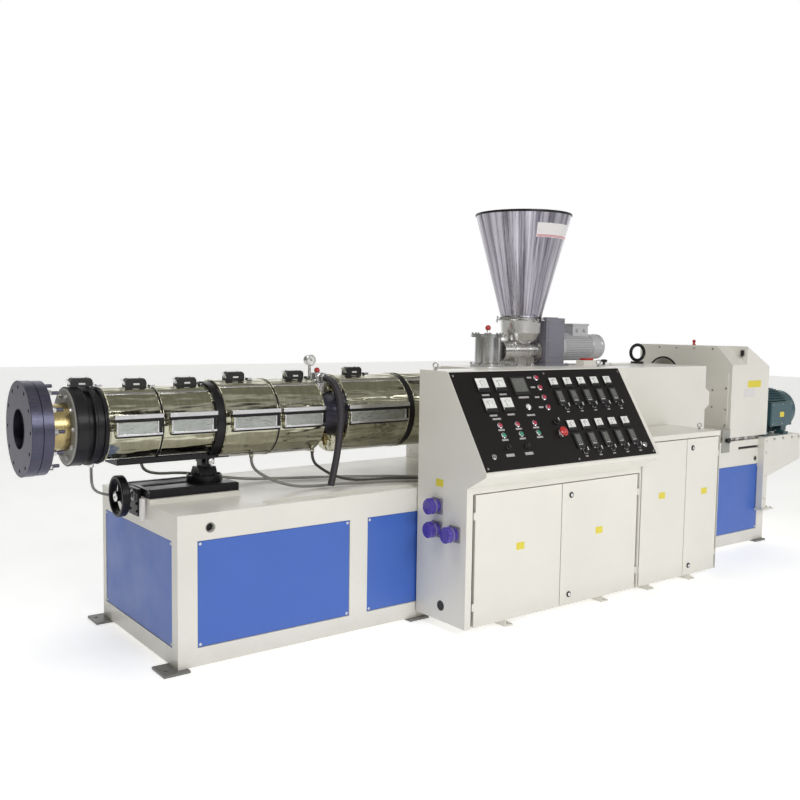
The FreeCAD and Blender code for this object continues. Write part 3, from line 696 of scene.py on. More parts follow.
def makeCoverTrim():
    for number, (x0, x1, radius) in enumerate(coverSettings["spans"], 1):
        bead = coverSettings["bead"]
        grow("coverBeads%d" % number, beadTree, [(x0 + 5, axisY, axisZ), (x1 - 5, axisY, axisZ)],
             {"Ring Radius": radius / 1000, "Bead Radius": bead / 1000}, coverMirror)
        # two folded seam strips run along each cover, low and high on the operator side
        bm = bmesh.new()
        for lean in (-58, 62):
            angle = math.radians(lean)
            turn = Matrix.Rotation(angle, 3, "X")
            middle = Vector(((x0 + x1) / 2, axisY - radius * math.cos(angle),
                             axisZ - radius * math.sin(angle)))
            made = bmesh.ops.create_cube(bm, size=1)["verts"]
            for v in made:
                v.co = place(*(middle + turn @ Vector((v.co.x * (x1 - x0 - 16), v.co.y * 5, v.co.z * 15))))
        finishPiece(bm, "coverSeams%d" % number, chromeMetal, bevel=1)
    # painted shade: black rings stand in for the shade in the gaps between covers and under the lip of the
    # next cover
    makePiece("coverGapShade", blackPaint, addTurned, [
        ((x0, axisY, axisZ), toMotor,
         [(radius - 2, 0), (radius, 1), (radius, x1 - x0 - 1), (radius - 2, x1 - x0)], 96)
        for x0, x1, radius in ((60, 76, 185), (697, 713, 208), (1563, 1603, 218))], bevel=0)


def makeDuctTrim():
    frames, windows, dark = bmesh.new(), bmesh.new(), bmesh.new()
    for x0, x1, radius in ductSettings["spans"]:
        face = axisY - radius - ductSettings["proud"]
        low, high = axisZ - ductSettings["half"], axisZ + ductSettings["half"]
        addBox(frames, x0 - 8, x1 + 8, face - 2, face + 24, high + 3, high + 24)
        addBox(frames, x0 - 2, x1 + 2, face - 4, face, low - 3, low + 8)
        addBox(frames, x0 - 2, x0 + 7, face - 4, face, low, high - 12)
        addBox(frames, x1 - 26, x1 - 18, face - 4, face, low, high - 12)
        addBox(windows, x0 + 7, x1 - 26, face - 2, face, low + 8, high - 13)
        # painted shade: black sheets stand in for the shade under the top rail and at the right end of each
        # duct, and a black strip for the shadow below it
        addBox(dark, x0 - 4, x1 + 4, face - 1.5, face + 22, high - 12, high + 3)
        addBox(dark, x1 - 18, x1 - 1, face - 1.5, face + 4, low + 8, high - 12)
        addBox(dark, x0, x1, face + 3, face + 22, low - 12, low - 3)
    finishPiece(frames, "ductFrames", chromeMetal, bevel=1.2)
    finishPiece(windows, "ductWindows", satinSteel, bevel=0.5)
    finishPiece(dark, "ductPaintedShade", blackPaint, bevel=0.8)
    ends = [(x, axisY - radius - ductSettings["proud"] - 4, axisZ + side * 30)
            for x0, x1, radius in ductSettings["spans"] for x in (x0 + 3, x1 - 22) for side in (-1, 0)]
    screws("ductScrews", ends, toFront, 3.2, 2, 12, washer=0.6)


def makeBoxTrim():
    lids = bmesh.new()
    plates = bmesh.new()
    clips = bmesh.new()
    high = boxSettings["high"]
    for x, radius in boxSettings["spots"]:
        low = axisZ + radius
        addBox(lids, x - 47, x + 47, axisY - 28.5, axisY + 28.5, low + 22, low + 25)
        addBox(plates, x - 15, x + 17, axisY - 28, axisY - 26, low + 8, low + 17)
        turn = Matrix.Rotation(math.radians(-32), 3, "Y")
        addBox(clips, x - 58, x - 54, axisY - 24, axisY + 12, low - 6, low + high + 2, turn)
        addRod(clips, (x + 52, axisY, low + 12), toMotor, 8, 12, 1.5)
        addBox(clips, x + 66, x + 92, axisY - 40, axisY - 8, low - 3, low + 9)
    finishPiece(lids, "boxLidJoints", blackPlastic, bevel=0.8)
    finishPiece(plates, "boxBlankPlates", palePlate, bevel=0.4)
    finishPiece(clips, "boxClips", chromeMetal, bevel=0.6)
    lidScrews = [(x + i, axisY + j, axisZ + radius + high) for x, radius in boxSettings["spots"]
                 for i in (-34, 34) for j in (-18, 18)]
    screws("boxScrews", lidScrews, upward, 3.6, 2, 12, washer=0.5)


makeCoverTrim()
makeDuctTrim()
makeBoxTrim()


clampSettings = {"faces": (350, 395), "boltCircle": 184, "bolts": 16, "firstBolt": 11, "pinHigh": 916}


def makeClamp():
    faces, pinZ = clampSettings["faces"], clampSettings["pinHigh"]
    circle = [clampSettings[k] for k in ("boltCircle", "bolts", "firstBolt")]
    for name, x, side in (("clampBolts", faces[0], toDie), ("clampBoltsBack", faces[1], toMotor)):
        screws(name, aroundX(x, axisY, axisZ, *circle), side, 6.5, 5, 6, blackPaint, washer=1)
    bm = bmesh.new()
    for side in (-1, 1):
        addBox(bm, 352, 393, axisY + side * 60 - 12, axisY + side * 60 + 12, 900, 940)
    addRod(bm, (372, axisY - 78, pinZ), toBack, 9, 156, 2)
    finishPiece(bm, "clampEars", blackPaint, bevel=1.5)
    screws("clampEarNuts", [(372, axisY - 78, pinZ)], toFront, 12, 10)


ventSettings = {"x": 1062, "gauge": 1434, "elbow": 1336}


def makeVentTrim():
    ventX, gaugeZ, elbowZ = (ventSettings[k] for k in ("x", "gauge", "elbow"))
    screws("ventBolts", aroundZ(ventX, axisY, 1308, 54, 6, 30), upward, 7, 8)
    makePiece("ventCollars", chromeMetal, addTurned, [
        ((ventX - 50, axisY - 14, gaugeZ), toFront,
         [(0, 0), (31, 0), (31.8, 3), (30, 6), (27.5, 6), (27.5, 1.5), (0, 1.5)], 40),
        ((ventX, 452, elbowZ), toBack, [(24, 0), (29, 2), (29, 20), (24, 22)], 32),
        ((ventX, 452, elbowZ), toFront, [(24.2, 0), (26, 0), (26, 10), (24.2, 12)], 32),
        ((ventX, axisY, 1306), upward, [(36, 0), (39, 2), (39, 14), (36, 18)], 32)], bevel=0.5)
    makePiece("gaugeDial", gaugeFace, addTurned, [
        ((ventX - 50, axisY - 16.5, gaugeZ), toFront, [(0, 0), (27, 0), (27, 0.8), (0, 0.8)], 36)], bevel=0)
    bm = bmesh.new()
    for i in range(11):
        angle = math.radians(-135 + 27 * i)
        turn = Matrix.Rotation(angle, 3, "Y")
        spot = Vector((ventX - 50, axisY - 18, gaugeZ)) + turn @ Vector((0, 0, 21))
        addBox(bm, spot.x - 0.7, spot.x + 0.7, spot.y - 0.4, spot.y + 0.4, spot.z - 2.6, spot.z + 2.6, turn)
    needle = Matrix.Rotation(math.radians(-60), 3, "Y")
    addBox(bm, ventX - 51, ventX - 49, axisY - 18.8, axisY - 17.8, gaugeZ - 8, gaugeZ + 20, needle)
    addRod(bm, (ventX - 50, axisY - 17, gaugeZ), toFront, 3, 2.4)
    finishPiece(bm, "gaugeMarks", blackPlastic, bevel=0)
    bm = bmesh.new()
    addBall(bm, (ventX, axisY, 1376), 17)
    addTurned(bm, (ventX, axisY, 1352), upward, [(7, 0), (7, 14), (10, 16)], 20)
    finishPiece(bm, "ventKnob", redPlastic, bevel=0)
    bm = bmesh.new()
    addTurned(bm, (ventX, 430, elbowZ), toFront, [(19.4, 0), (22.4, 0), (22.4, 16), (19.4, 16)], 32)
    addBox(bm, ventX - 5, ventX + 5, 418, 426, 1357, 1366)
    finishPiece(bm, "hoseClip", chromeMetal, bevel=0.8)
    # drain fitting at the foot of the vent
    makePiece("drainFitting", brassMetal, addTurned, [
        ((ventX + 6, 440, 1018), (0, -0.35, -1),
         [(0, 0), (22, 0), (22, 18), (30, 20), (30, 36), (16, 40), (14, 66), (0, 66)], 6)], bevel=1)


makeClamp()
makeVentTrim()
print("barrel trimmed")


# slide, handwheel and bed
bedSettings = {"railTop": 807, "wheel": 768, "lift": (165, 672), "screwHeights": (115, 599),
               "bays": [(102, 957), (1076, 1931), (2050, 2610), (2850, 3700), (3830, 4785)]}


def makeBedTrim():
    railTop, wheelZ = bedSettings["railTop"], bedSettings["wheel"]
    liftX, liftZ = bedSettings["lift"]
    screwHeights = bedSettings["screwHeights"]
    bm = bmesh.new()
    for y in (axisY - 136, axisY + 136):
        addBox(bm, 14, 484, y - 12, y + 12, railTop - 0.5, railTop + 3)
    addRod(bm, (30, axisY, railTop - 8), toMotor, 11, 430, 2)
    finishPiece(bm, "slideWays", blackPaint, bevel=0.8)
    screws("tableBolts", aroundZ(368, axisY, 840, 76, 8, 20), upward, 7, 6, 6, blackPaint)
    makePiece("wheelSleeve", chromeMetal, addTurned, [
        ((-63, axisY, wheelZ), toMotor, [(14.2, 0), (19, 1), (19, 14), (16, 18), (16, 36), (14.2, 38)],
         28)], body="handwheel", bevel=0.5)
    makePiece("wheelHubCap", chromeMetal, addTurned, [
        ((-108, axisY, wheelZ), toDie, [(26, 0), (24, 3), (10, 4), (9, 1), (0, 1)],
         28)], body="handwheel", bevel=0.5)
    screws("bracketScrews", [(-18, axisY + y, z) for y in (-48, 48) for z in (690, 730, 786)],
           toDie, 7, 5, 6, blackPaint)
    makePiece("bracketBush", castSteel, addTurned, [
        ((-18, axisY, wheelZ), toDie, [(17, 0), (30, 0), (30, 5), (17, 6)], 32)], bevel=0.8)
    # round pale stop post beside the bracket and low ledges on the bed top
    makePiece("stopPost", palePlate, addTurned, [
        ((-22, 372, 660), upward, [(0, 0), (14, 0), (15, 2), (15, 104), (12, 110), (0, 112)], 28)], bevel=0.5)
    makePiece("bedLedges", creamPaint, addBox, [
        (500, 2090, y0, y1, 742, 748) for y0, y1 in ((58, 64), (96, 102))], bevel=1)
    makePiece("liftingLips", plateGrey, addTurned, [
        ((liftX, y, liftZ), (0, side, 0), [(21.5, -3), (21.5, 1.2), (25, 1.2), (26, -0.5)], 36)
        for y, side in ((0, -1), (1010, 1))], bevel=0)
    makePiece("liftingHoleShade", blackPaint, addTurned, [
        ((liftX, y, liftZ), toBack, [(0, -1), (20.8, -1), (20.8, 1), (0, 1)], 36)
        for y in (24, 986)], bevel=0)
    # small bright screws in the corners of every blue panel
    spots = [(x, 3, z) for x0, x1 in bedSettings["bays"] for x in (x0 + 12, x1 - 12) for z in screwHeights]
    screws("panelScrewsFront", spots, toFront, 5.5, 2.5, 16, whitePlastic, washer=0.5)
    screws("panelScrewsBack", [(x, 1007, z) for x, _, z in spots], toBack, 5.5, 2.5, 16,
           whitePlastic, washer=0.5)
    screws("panelScrewsEnd", [(3, y, z) for y in (82, 950) for z in screwHeights], toDie,
           5.5, 2.5, 16, whitePlastic, washer=0.5)


makeBedTrim()


# console instruments: places are (along, up the slope) in millimetres from the lip
slopeUp = Vector((0, 0.5368, 0.8437))
slopeOut = Vector((0, -0.8437, 0.5368))
slopeTurn = Matrix((toMotor, tuple(slopeUp), tuple(slopeOut))).transposed()
consoleSettings = {"lip": (-563, 896), "face": 4.0, "meter": 78, "meterColumns": (1600, 1727),
                   "meterRows": (504, 381), "zoneStart": 2146, "zonePitch": 116, "zones": 5}


def onSlope(along, up, lift=0.0):
    spot = Vector((along, consoleSettings["lip"][0], consoleSettings["lip"][1]))
    return spot + slopeUp * up + slopeOut * (consoleSettings["face"] + lift)


def slopeBox(bm, along, up, width, height, low, high):
    spot = onSlope(along, up, (low + high) / 2)
    addBox(bm, spot.x - width / 2, spot.x + width / 2, spot.y - height / 2, spot.y + height / 2,
           spot.z - (high - low) / 2, spot.z + (high - low) / 2, slopeTurn)


def slopeKnob(bm, along, up, outline, steps=28):
    addTurned(bm, onSlope(along, up), tuple(slopeOut), outline, steps)


def makeInstruments():
    white, black, grey = bmesh.new(), bmesh.new(), bmesh.new()
    labels, chrome, red, green, push = (bmesh.new() for _ in range(5))
    settings = consoleSettings
    meters = [(x, t, settings["meter"]) for x in settings["meterColumns"] for t in settings["meterRows"]]
    columns = [settings["zoneStart"] + settings["zonePitch"] * i for i in range(settings["zones"])]
    meters += [(x, t, 58) for t in (503, 230) for x in columns]
    for x, t, size in meters:
        slopeBox(black, x, t, size + 8, size + 8, 0, 7)
        slopeBox(white, x, t + 4, size, size - 8, 6, 9)
        slopeBox(black, x, t - size * 0.36, size * 0.96, size * 0.2, 8, 10.5)
        for i in range(7):
            angle = math.radians(-42 + 14 * i)
            slopeBox(black, x + size * 0.36 * math.sin(angle),
                     t - size * 0.2 + size * 0.52 * math.cos(angle), 2.2, 5, 9, 9.6)
        slopeBox(black, x - size * 0.12, t + size * 0.02, 1.6, size * 0.4, 9, 10)
    # two rows of zone controllers with a selector under each
    for base, knobRow in ((408, 346), (134, 68)):
        for x in columns:
            slopeBox(black, x + 8, base, 62, 92, 0, 9)
            slopeBox(grey, x + 8, base + 14, 38, 46, 8, 10)
            slopeBox(labels, x + 8, base - 26, 34, 7, 8, 10)
            for i in range(3):
                slopeBox(labels, x - 6 + 14 * i, base - 15, 6, 5, 8, 10.5)
            slopeKnob(black, x + 28, knobRow, [(0, 0), (15, 0), (15, 6), (11, 8), (11, 20), (8, 24), (0, 24)])
            slopeKnob(chrome, x + 28, knobRow, [(15, 0), (18, 0), (18, 3), (15, 3)])
            slopeBox(white, x + 30, knobRow + 5, 4.5, 20, 23, 26)
            slopeBox(labels, x + 26, knobRow - 30, 22, 7, 0, 2)
            slopeBox(labels, x + 2, knobRow + 16, 14, 6, 0, 2)
    # main display, start keys and lamp column
    slopeBox(black, 1872, 490, 118, 112, 0, 8)
    slopeBox(grey, 1872, 494, 96, 84, 7, 9.5)
    slopeBox(labels, 1872, 420, 78, 12, 0, 2)
    for x, t, _ in meters[:4]:
        slopeBox(labels, x, t - 60, 52, 10, 0, 2)
    for i, t in enumerate((538, 476, 413, 350)):
        slopeKnob(chrome, 2024, t, [(11, 0), (17, 0), (17, 4), (11, 6)])
        slopeKnob(red, 2024, t, [(0, 0), (12, 0), (12, 10), (9, 14), (0, 16)])
        slopeBox(labels, 1974, t + 4, 34, 10, 0, 2)
    slopeKnob(chrome, 1876, 360, [(13, 0), (19, 0), (19, 4), (13, 6)])
    slopeKnob(white, 1876, 360, [(0, 0), (13, 0), (13, 9), (0, 10)])
    for row, target in ((260, red), (202, green)):
        for x in (1615, 1742, 1872):
            slopeKnob(chrome, x, row, [(11, 0), (17, 0), (17, 4), (11, 6)])
            slopeKnob(target, x, row, [(0, 0), (12, 0), (12, 9), (8, 12), (0, 13)])
            slopeBox(labels, x, row - 26, 44, 10, 0, 2)
    for x in (1613, 1750):
        slopeKnob(black, x, 132, [(0, 0), (14, 0), (14, 6), (10, 8), (10, 20), (0, 22)])
        slopeBox(labels, x - 4, 88, 58, 16, 0, 2)
    slopeBox(labels, 1613, 300, 60, 10, 0, 2)
    slopeBox(labels, 1872, 310, 60, 10, 0, 2)
    for x, t in ((1491, 86), (2692, 70)):
        slopeKnob(chrome, x, t, [(0, 0), (15, 0), (15, 5), (11, 8), (11, 12), (0, 12)])
        slopeBox(black, x, t, 2.4, 13, 12, 13)
    slopeKnob(black, 2040, 258, [(0, 0), (18, 0), (18, 7), (13, 9), (13, 26), (0, 28)])
    slopeBox(white, 2040, 264, 4, 16, 27, 29.5)
    slopeKnob(chrome, 2042, 188, [(0, 0), (21, 0), (21, 4), (13, 6), (13, 20)])
    slopeKnob(push, 2042, 188, [(13, 18), (27, 22), (28, 30), (22, 36), (0, 38)])
    finishPiece(white, "meterFaces", whitePlastic, bevel=0.4)
    finishPiece(black, "instrumentBezels", blackPlastic, bevel=0.7)
    finishPiece(grey, "controllerScreens", greyScreen, bevel=0.3)
    finishPiece(labels, "blankLabels", labelGrey, bevel=0.2)
    finishPiece(chrome, "instrumentRims", chromeMetal, bevel=0.3)
    finishPiece(red, "redLamps", redLamp, bevel=0)
    finishPiece(green, "greenLamps", greenLamp, bevel=0)
    finishPiece(push, "stopButton", redPlastic, bevel=0)
    corners = [tuple(onSlope(x, t)) for x in (1424, 2748) for t in (26, 566)]
    corners += [tuple(onSlope(2102, t)) for t in (26, 566)]
    screws("panelScrews", corners, tuple(slopeOut), 5, 2.5, 16, washer=0.6)


makeInstruments()
print("console fitted")


# cabinets: locks, blank plates, sockets and eyebolts
doorSettings = {"face": -420, "locks": {"cabinet_door_right": ((2193, 690), (2193, 113)),
                                        "drive_door_right": ((3325, 882), (3325, 113))},
                "plates": {"cabinet_door_left": (1797, 447), "cabinet_door_right": (2441, 455),
                           "drive_door_left": (3024, 600), "drive_door_right": (3464, 588)}}


def makeDoorTrim():
    face = doorSettings["face"]
    for body, spots in doorSettings["locks"].items():
        rims, cores = bmesh.new(), bmesh.new()
        for x, z in spots:
            addTurned(rims, (x, face, z), toFront,
                      [(0, 0), (17, 0), (17, 3), (14, 6), (10, 6), (10, 4), (0, 4)], 32)
            addTurned(cores, (x, face - 3.5, z), toFront, [(0, 0), (9.5, 0), (9.5, 3), (0, 3.4)], 24)
            addBox(cores, x - 1.2, x + 1.2, face - 7.6, face - 6.8, z - 5, z + 5)
        finishPiece(rims, body + "LockRims", blackPlastic, body=body, bevel=0.4)
        finishPiece(cores, body + "LockCores", chromeMetal, body=body, bevel=0.2)
    for body, (x, z) in doorSettings["plates"].items():
        makePiece(body + "BlankPlate", yellowPlate, addPlate, [
            ([(x - 30, face, z - 18), (x + 30, face, z - 18), (x + 30, face, z + 22), (x - 30, face, z + 22)],
             1.2)], body=body, bevel=0.3)
    makePiece("sideBlankPlate", yellowPlate, addPlate, [
        ([(1403, -167, 780), (1403, -227, 780), (1403, -227, 820), (1403, -167, 820)], 1.2)], bevel=0.3)
    makePiece("sideHole", blackPlastic, addTurned, [
        ((1403, -223, 134), toDie, [(0, 1), (22, 1), (22, 2.5), (27, 2.5), (28, 0)], 36)], bevel=0)


socketSettings = {"spots": ((-185, 674), (-185, 547), (-331, 546))}


def makeSocketTrim():
    places = socketSettings["spots"]
    bases, lids = bmesh.new(), bmesh.new()
    for y, z in places:
        addBox(bases, 1396, 1403, y - 43, y + 43, z - 43, z + 43)
        addTurned(bases, (1369, y, z), toDie, [(34.5, 0), (41, 1), (41, 7), (34.5, 8)], 36)
        addTurned(lids, (1331, y, z), toDie,
                  [(39.2, -8), (41.5, -6), (41.5, 0), (37, 3), (30, 4), (0, 4)], 36)
        addBox(lids, 1326, 1366, y - 8, y + 8, z + 36, z + 46)
        for i in range(12):
            angle = math.radians(30 * i)
            turn = Matrix.Rotation(-angle, 3, "X")
            addBox(lids, 1336, 1364, y + 39.5 * math.sin(angle) - 2, y + 39.5 * math.sin(angle) + 2,
                   z + 39.5 * math.cos(angle) - 2, z + 39.5 * math.cos(angle) + 2, turn)
    finishPiece(bases, "socketBases", greyPaint, bevel=1)
    finishPiece(lids, "socketLids", violetPlastic, bevel=0.7)
    spots = [(1396, y + i, z + j) for y, z in places for i in (-36, 36) for j in (-36, 36)]
    screws("socketScrews", spots, toDie, 4, 2.5, 12, washer=0.6)


def eyebolt(bm, x, y, z, radius, turnTo=(0.6, 0.8, 0)):
    addRod(bm, (x, y, z), upward, radius * 0.75, 6, 1)
    addRod(bm, (x, y, z + 5), upward, radius * 0.38, 12, 1)
    addRing(bm, (x, y, z + 14 + radius), turnTo, radius, radius * 0.3, 32, 10)


def makeLifting():
    bm = bmesh.new()
    for x, y, z in ((1440, -100, 1399), (2760, -100, 1399), (3560, -300, 978), (2850, -300, 978)):
        eyebolt(bm, x, y, z, 13)
    finishPiece(bm, "cabinetEyebolts", castSteel, bevel=0)


makeDoorTrim()
makeSocketTrim()
makeLifting()
print("cabinets fitted")

# gearbox cover, inspection pot and lifting ring
deckSettings = {"top": 1380, "pot": (2372, 505), "potLid": 1592, "ring": (3905, 505)}


def makeDeckTrim():
    top = deckSettings["top"]
    seams, plates = bmesh.new(), bmesh.new()
    addBox(seams, 2700, 4050, -0.8, 1, 803, 808)
    finishPiece(seams, "deckSeams", plateGrey, bevel=0)
    addBox(plates, 3150, 3680, 330, 620, top, top + 6)
    addBox(plates, 2150, 2560, 260, 330, top, top + 4)
    addBox(plates, 2096, 2101, 24, 470, 830, 1110)
    addBox(plates, 2096, 2101, 540, 980, 770, 1060)
    finishPiece(plates, "deckPlates", creamPaint, bevel=1.5)
    screws("deckScrews", [(x, y, top + 6) for x in (3170, 3415, 3660) for y in (350, 600)], upward, 7, 5)
    screws("deckEndScrews", [(2096, y, z) for y in (44, 450) for z in (850, 1090)]
           + [(2096, y, z) for y in (560, 960) for z in (790, 1040)], toDie, 6, 3, 16)
    x, y = deckSettings["pot"]
    screws("potBolts", aroundZ(x, y, top + 18, 106, 8, 10), upward, 8, 7)
    screws("potLidBolts", aroundZ(x, y, deckSettings["potLid"], 100, 8, 10), upward, 7, 6)
    makePiece("potLidLines", chromeMetal, addTurned, [
        ((x, y, 1570), upward, [(116, 8), (117.5, 9), (117.5, 12), (116, 13)], 64),
        ((x, y, deckSettings["potLid"]), upward,
         [(0, 0), (26, 0), (24, 6), (9, 10), (7, 22), (0, 22)], 32)], bevel=0)
    makePiece("potKnob", redPlastic, addBall, [((x, y, 1631), 19)], bevel=0)
    screws("ringFootBolts", aroundZ(*deckSettings["ring"], top + 14, 37, 6, 15), upward, 4, 4, washer=0.8)
    # cream switch box with a red lid, and a black knob beyond it
    boxMesh, lid, knob = bmesh.new(), bmesh.new(), bmesh.new()
    addBox(boxMesh, 2909, 3038, 150, 220, top, top + 46)
    addBox(lid, 2934, 3012, 158, 212, top + 46, top + 60)
    finishPiece(boxMesh, "deckBox", creamPaint, bevel=3)
    finishPiece(lid, "deckBoxLid", redPlastic, bevel=3)
    addTurned(knob, (3284, 300, top + 6), upward,
              [(0, 0), (10, 0), (8, 10), (8, 18), (22, 22), (24, 32), (16, 38), (0, 39)], 28)
    finishPiece(knob, "deckKnob", blackPlastic, bevel=0)
    screws("throatBolts", [(hx, hy, top) for hx in (2580, 2700) for hy in (420, 590)], upward, 6, 24)
    screws("feederBaseBolts", [(bx, by, top + 14) for bx in (2797, 2996) for by in (390, 505, 620)],
           upward, 4, 5, washer=0.5)


# hopper and feeder
hopperSettings = {"x": hopperAxis[0], "y": hopperAxis[1], "low": (135, 1702), "high": (316, 2375),
                  "stripLow": 2217, "stripHigh": 2306}


def coneRadius(z):
    (r0, z0), (r1, z1) = hopperSettings["low"], hopperSettings["high"]
    return r0 + (r1 - r0) * (z - z0) / (z1 - z0)


def addConePatch(bm, low, high, first, last, lift, depth, steps=28):
    # a strip that lies on the cone between two heights and two angles; 0 degrees faces the operator side
    layers = []
    for out in (lift, lift + depth):
        rows = []
        for z in (low, high):
            row = []
            for i in range(steps + 1):
                angle = math.radians(first + (last - first) * i / steps)
                r = coneRadius(z) + out
                row.append(bm.verts.new(place(hopperSettings["x"] + r * math.sin(angle),
                                              hopperSettings["y"] - r * math.cos(angle), z)))
            rows.append(row)
        layers.append(rows)
    inner, outer = layers
    for i in range(steps):
        bm.faces.new((outer[0][i], outer[0][i + 1], outer[1][i + 1], outer[1][i]))
        bm.faces.new((inner[0][i], inner[1][i], inner[1][i + 1], inner[0][i + 1]))
        bm.faces.new((inner[0][i], inner[0][i + 1], outer[0][i + 1], outer[0][i]))
        bm.faces.new((inner[1][i], outer[1][i], outer[1][i + 1], inner[1][i + 1]))
    for i in (0, steps):
        bm.faces.new((inner[0][i], outer[0][i], outer[1][i], inner[1][i]))


def makeHopperTrim():
    settings = hopperSettings
    makePiece("hopperStrip", palePlate, addConePatch, [
        (settings["stripLow"], settings["stripHigh"], -27, 42, 0.4, 0.8)], bevel=0)
    makePiece("hopperStripLine", pinkPlate, addConePatch, [
        (settings["stripLow"] + 2, settings["stripLow"] + 17, -26, 41, 1.1, 0.5)], bevel=0)
    seams = bmesh.new()
    addConePatch(seams, 1704, 2372, 89.4, 90.6, 0.2, 1.6, 3)
    addConePatch(seams, 1704, 2372, 269.4, 270.6, 0.2, 1.6, 3)
    finishPiece(seams, "hopperSeams", hopperMirror, bevel=0)
    makePiece("hopperClampBand", chromeMetal, addTurned, [
        ((settings["x"], settings["y"], 1681), upward,
         [(139, 0), (158, 0), (160, 2), (160, 7), (158, 9), (139, 9)], 80),
        ((settings["x"], settings["y"], 1702), upward,
         [(136, 0), (150, 0), (150, 5), (137.6, 6)], 80)], bevel=0.6)
    toggles = bmesh.new()
    for angle in (-118, 2, 122):
        turn = Matrix.Rotation(math.radians(angle), 3, "Z")
        for low, high, out in ((1684, 1712, 160), (1668, 1690, 164)):
            spot = turn @ Vector((0, -out - 5, 0))
            addBox(toggles, settings["x"] + spot.x - 13, settings["x"] + spot.x + 13,
                   settings["y"] + spot.y - 5, settings["y"] + spot.y + 5, low, high, turn)
    finishPiece(toggles, "hopperToggles", chromeMetal, bevel=1)


feederSettings = {"y": 505, "tube": 1480, "motorZ": 1508, "radius": 86, "start": 2985,
                  "cowl": 3310, "end": 3427}


def makeFeederTrim():
    y, z, radius = feederSettings["y"], feederSettings["motorZ"], feederSettings["radius"]
    start, cowl, end = feederSettings["start"], feederSettings["cowl"], feederSettings["end"]
    grow("feederFins", finTree, [((start + cowl) / 2 + 8, y, z)],
         {"Count": 36, "Body Radius": (radius + 5) / 1000,
          "Fin Size": (0.29, 0.0035, 0.012), "Start Angle": 0.0, "Sweep": 6.2832}, silverPaint)
    screws("feederFlangeBolts", aroundX(start + 18, y, z, radius + 12, 6, 30), toMotor, 6, 6)
    screws("feederHousingBolts", [(x, 400, h) for x in (2828, 2964) for h in (1412, 1550, 1684)], toFront,
           7, 6)
    screws("feederCollarBolts", aroundX(2789, y, feederSettings["tube"], 77, 8, 22), toDie, 5, 5)
    makePiece("feederCover", greyPaint, addBox, [
        (2826, 2966, 397, 401, 1436, 1668),
        (2850, 2940, 420, 590, 1703, 1709)], bevel=1.5)
    bm = bmesh.new()
    addBox(bm, 3114, 3281, 441, 569, 1656, 1670)
    for x in (3160, 3235):
        addTurned(bm, (x, 447, 1622), toFront, [(0, 0), (13, 0), (13, 8), (9, 10), (9, 18), (0, 18)], 24)
    finishPiece(bm, "feederLeadBox", silverPaint, bevel=2)
    makePiece("feederCowlEnd", silverPaint, addTurned, [
        ((end, y, z), toMotor, [(88, 0), (80, 10), (62, 12), (62, 10), (0, 10)], 48)], bevel=0.8)
    slots = bmesh.new()
    for ring in (28, 44, 58):
        addRing(slots, (end + 11, y, z), toMotor, ring, 1.6, 36, 6)
    for x in (cowl, cowl + 90):
        addRing(slots, (x, y, z), toMotor, 89, 1.5, 48, 6)
    finishPiece(slots, "feederGrille", bareSteel, bevel=0)
    # clips that hold the feed tube to its saddle
    bm = bmesh.new()
    for x in (2580, 2700):
        addRing(bm, (x, y, feederSettings["tube"]), toMotor, 70.5, 3, 48, 6)
        for side in (-1, 1):
            addBox(bm, x - 16, x + 16, y + side * 76 - 14, y + side * 76 + 14, 1380, 1398)
    finishPiece(bm, "tubeClips", chromeMetal, bevel=1)
    makePiece("hopperRim", blackPaint, addTurned, [
        ((hopperSettings["x"], y, 2379), upward,
         [(305, -6), (313, -8.6), (320, -6), (321.6, 0), (320, 6), (313, 8.6), (305, 6)], 96)], bevel=0)


makeDeckTrim()
makeHopperTrim()
makeFeederTrim()
print("feeder fitted")


# belt guard, motor and the fittings around them
guardSettings = {"start": 4380, "split": 4567, "shaft": (620, 1280)}


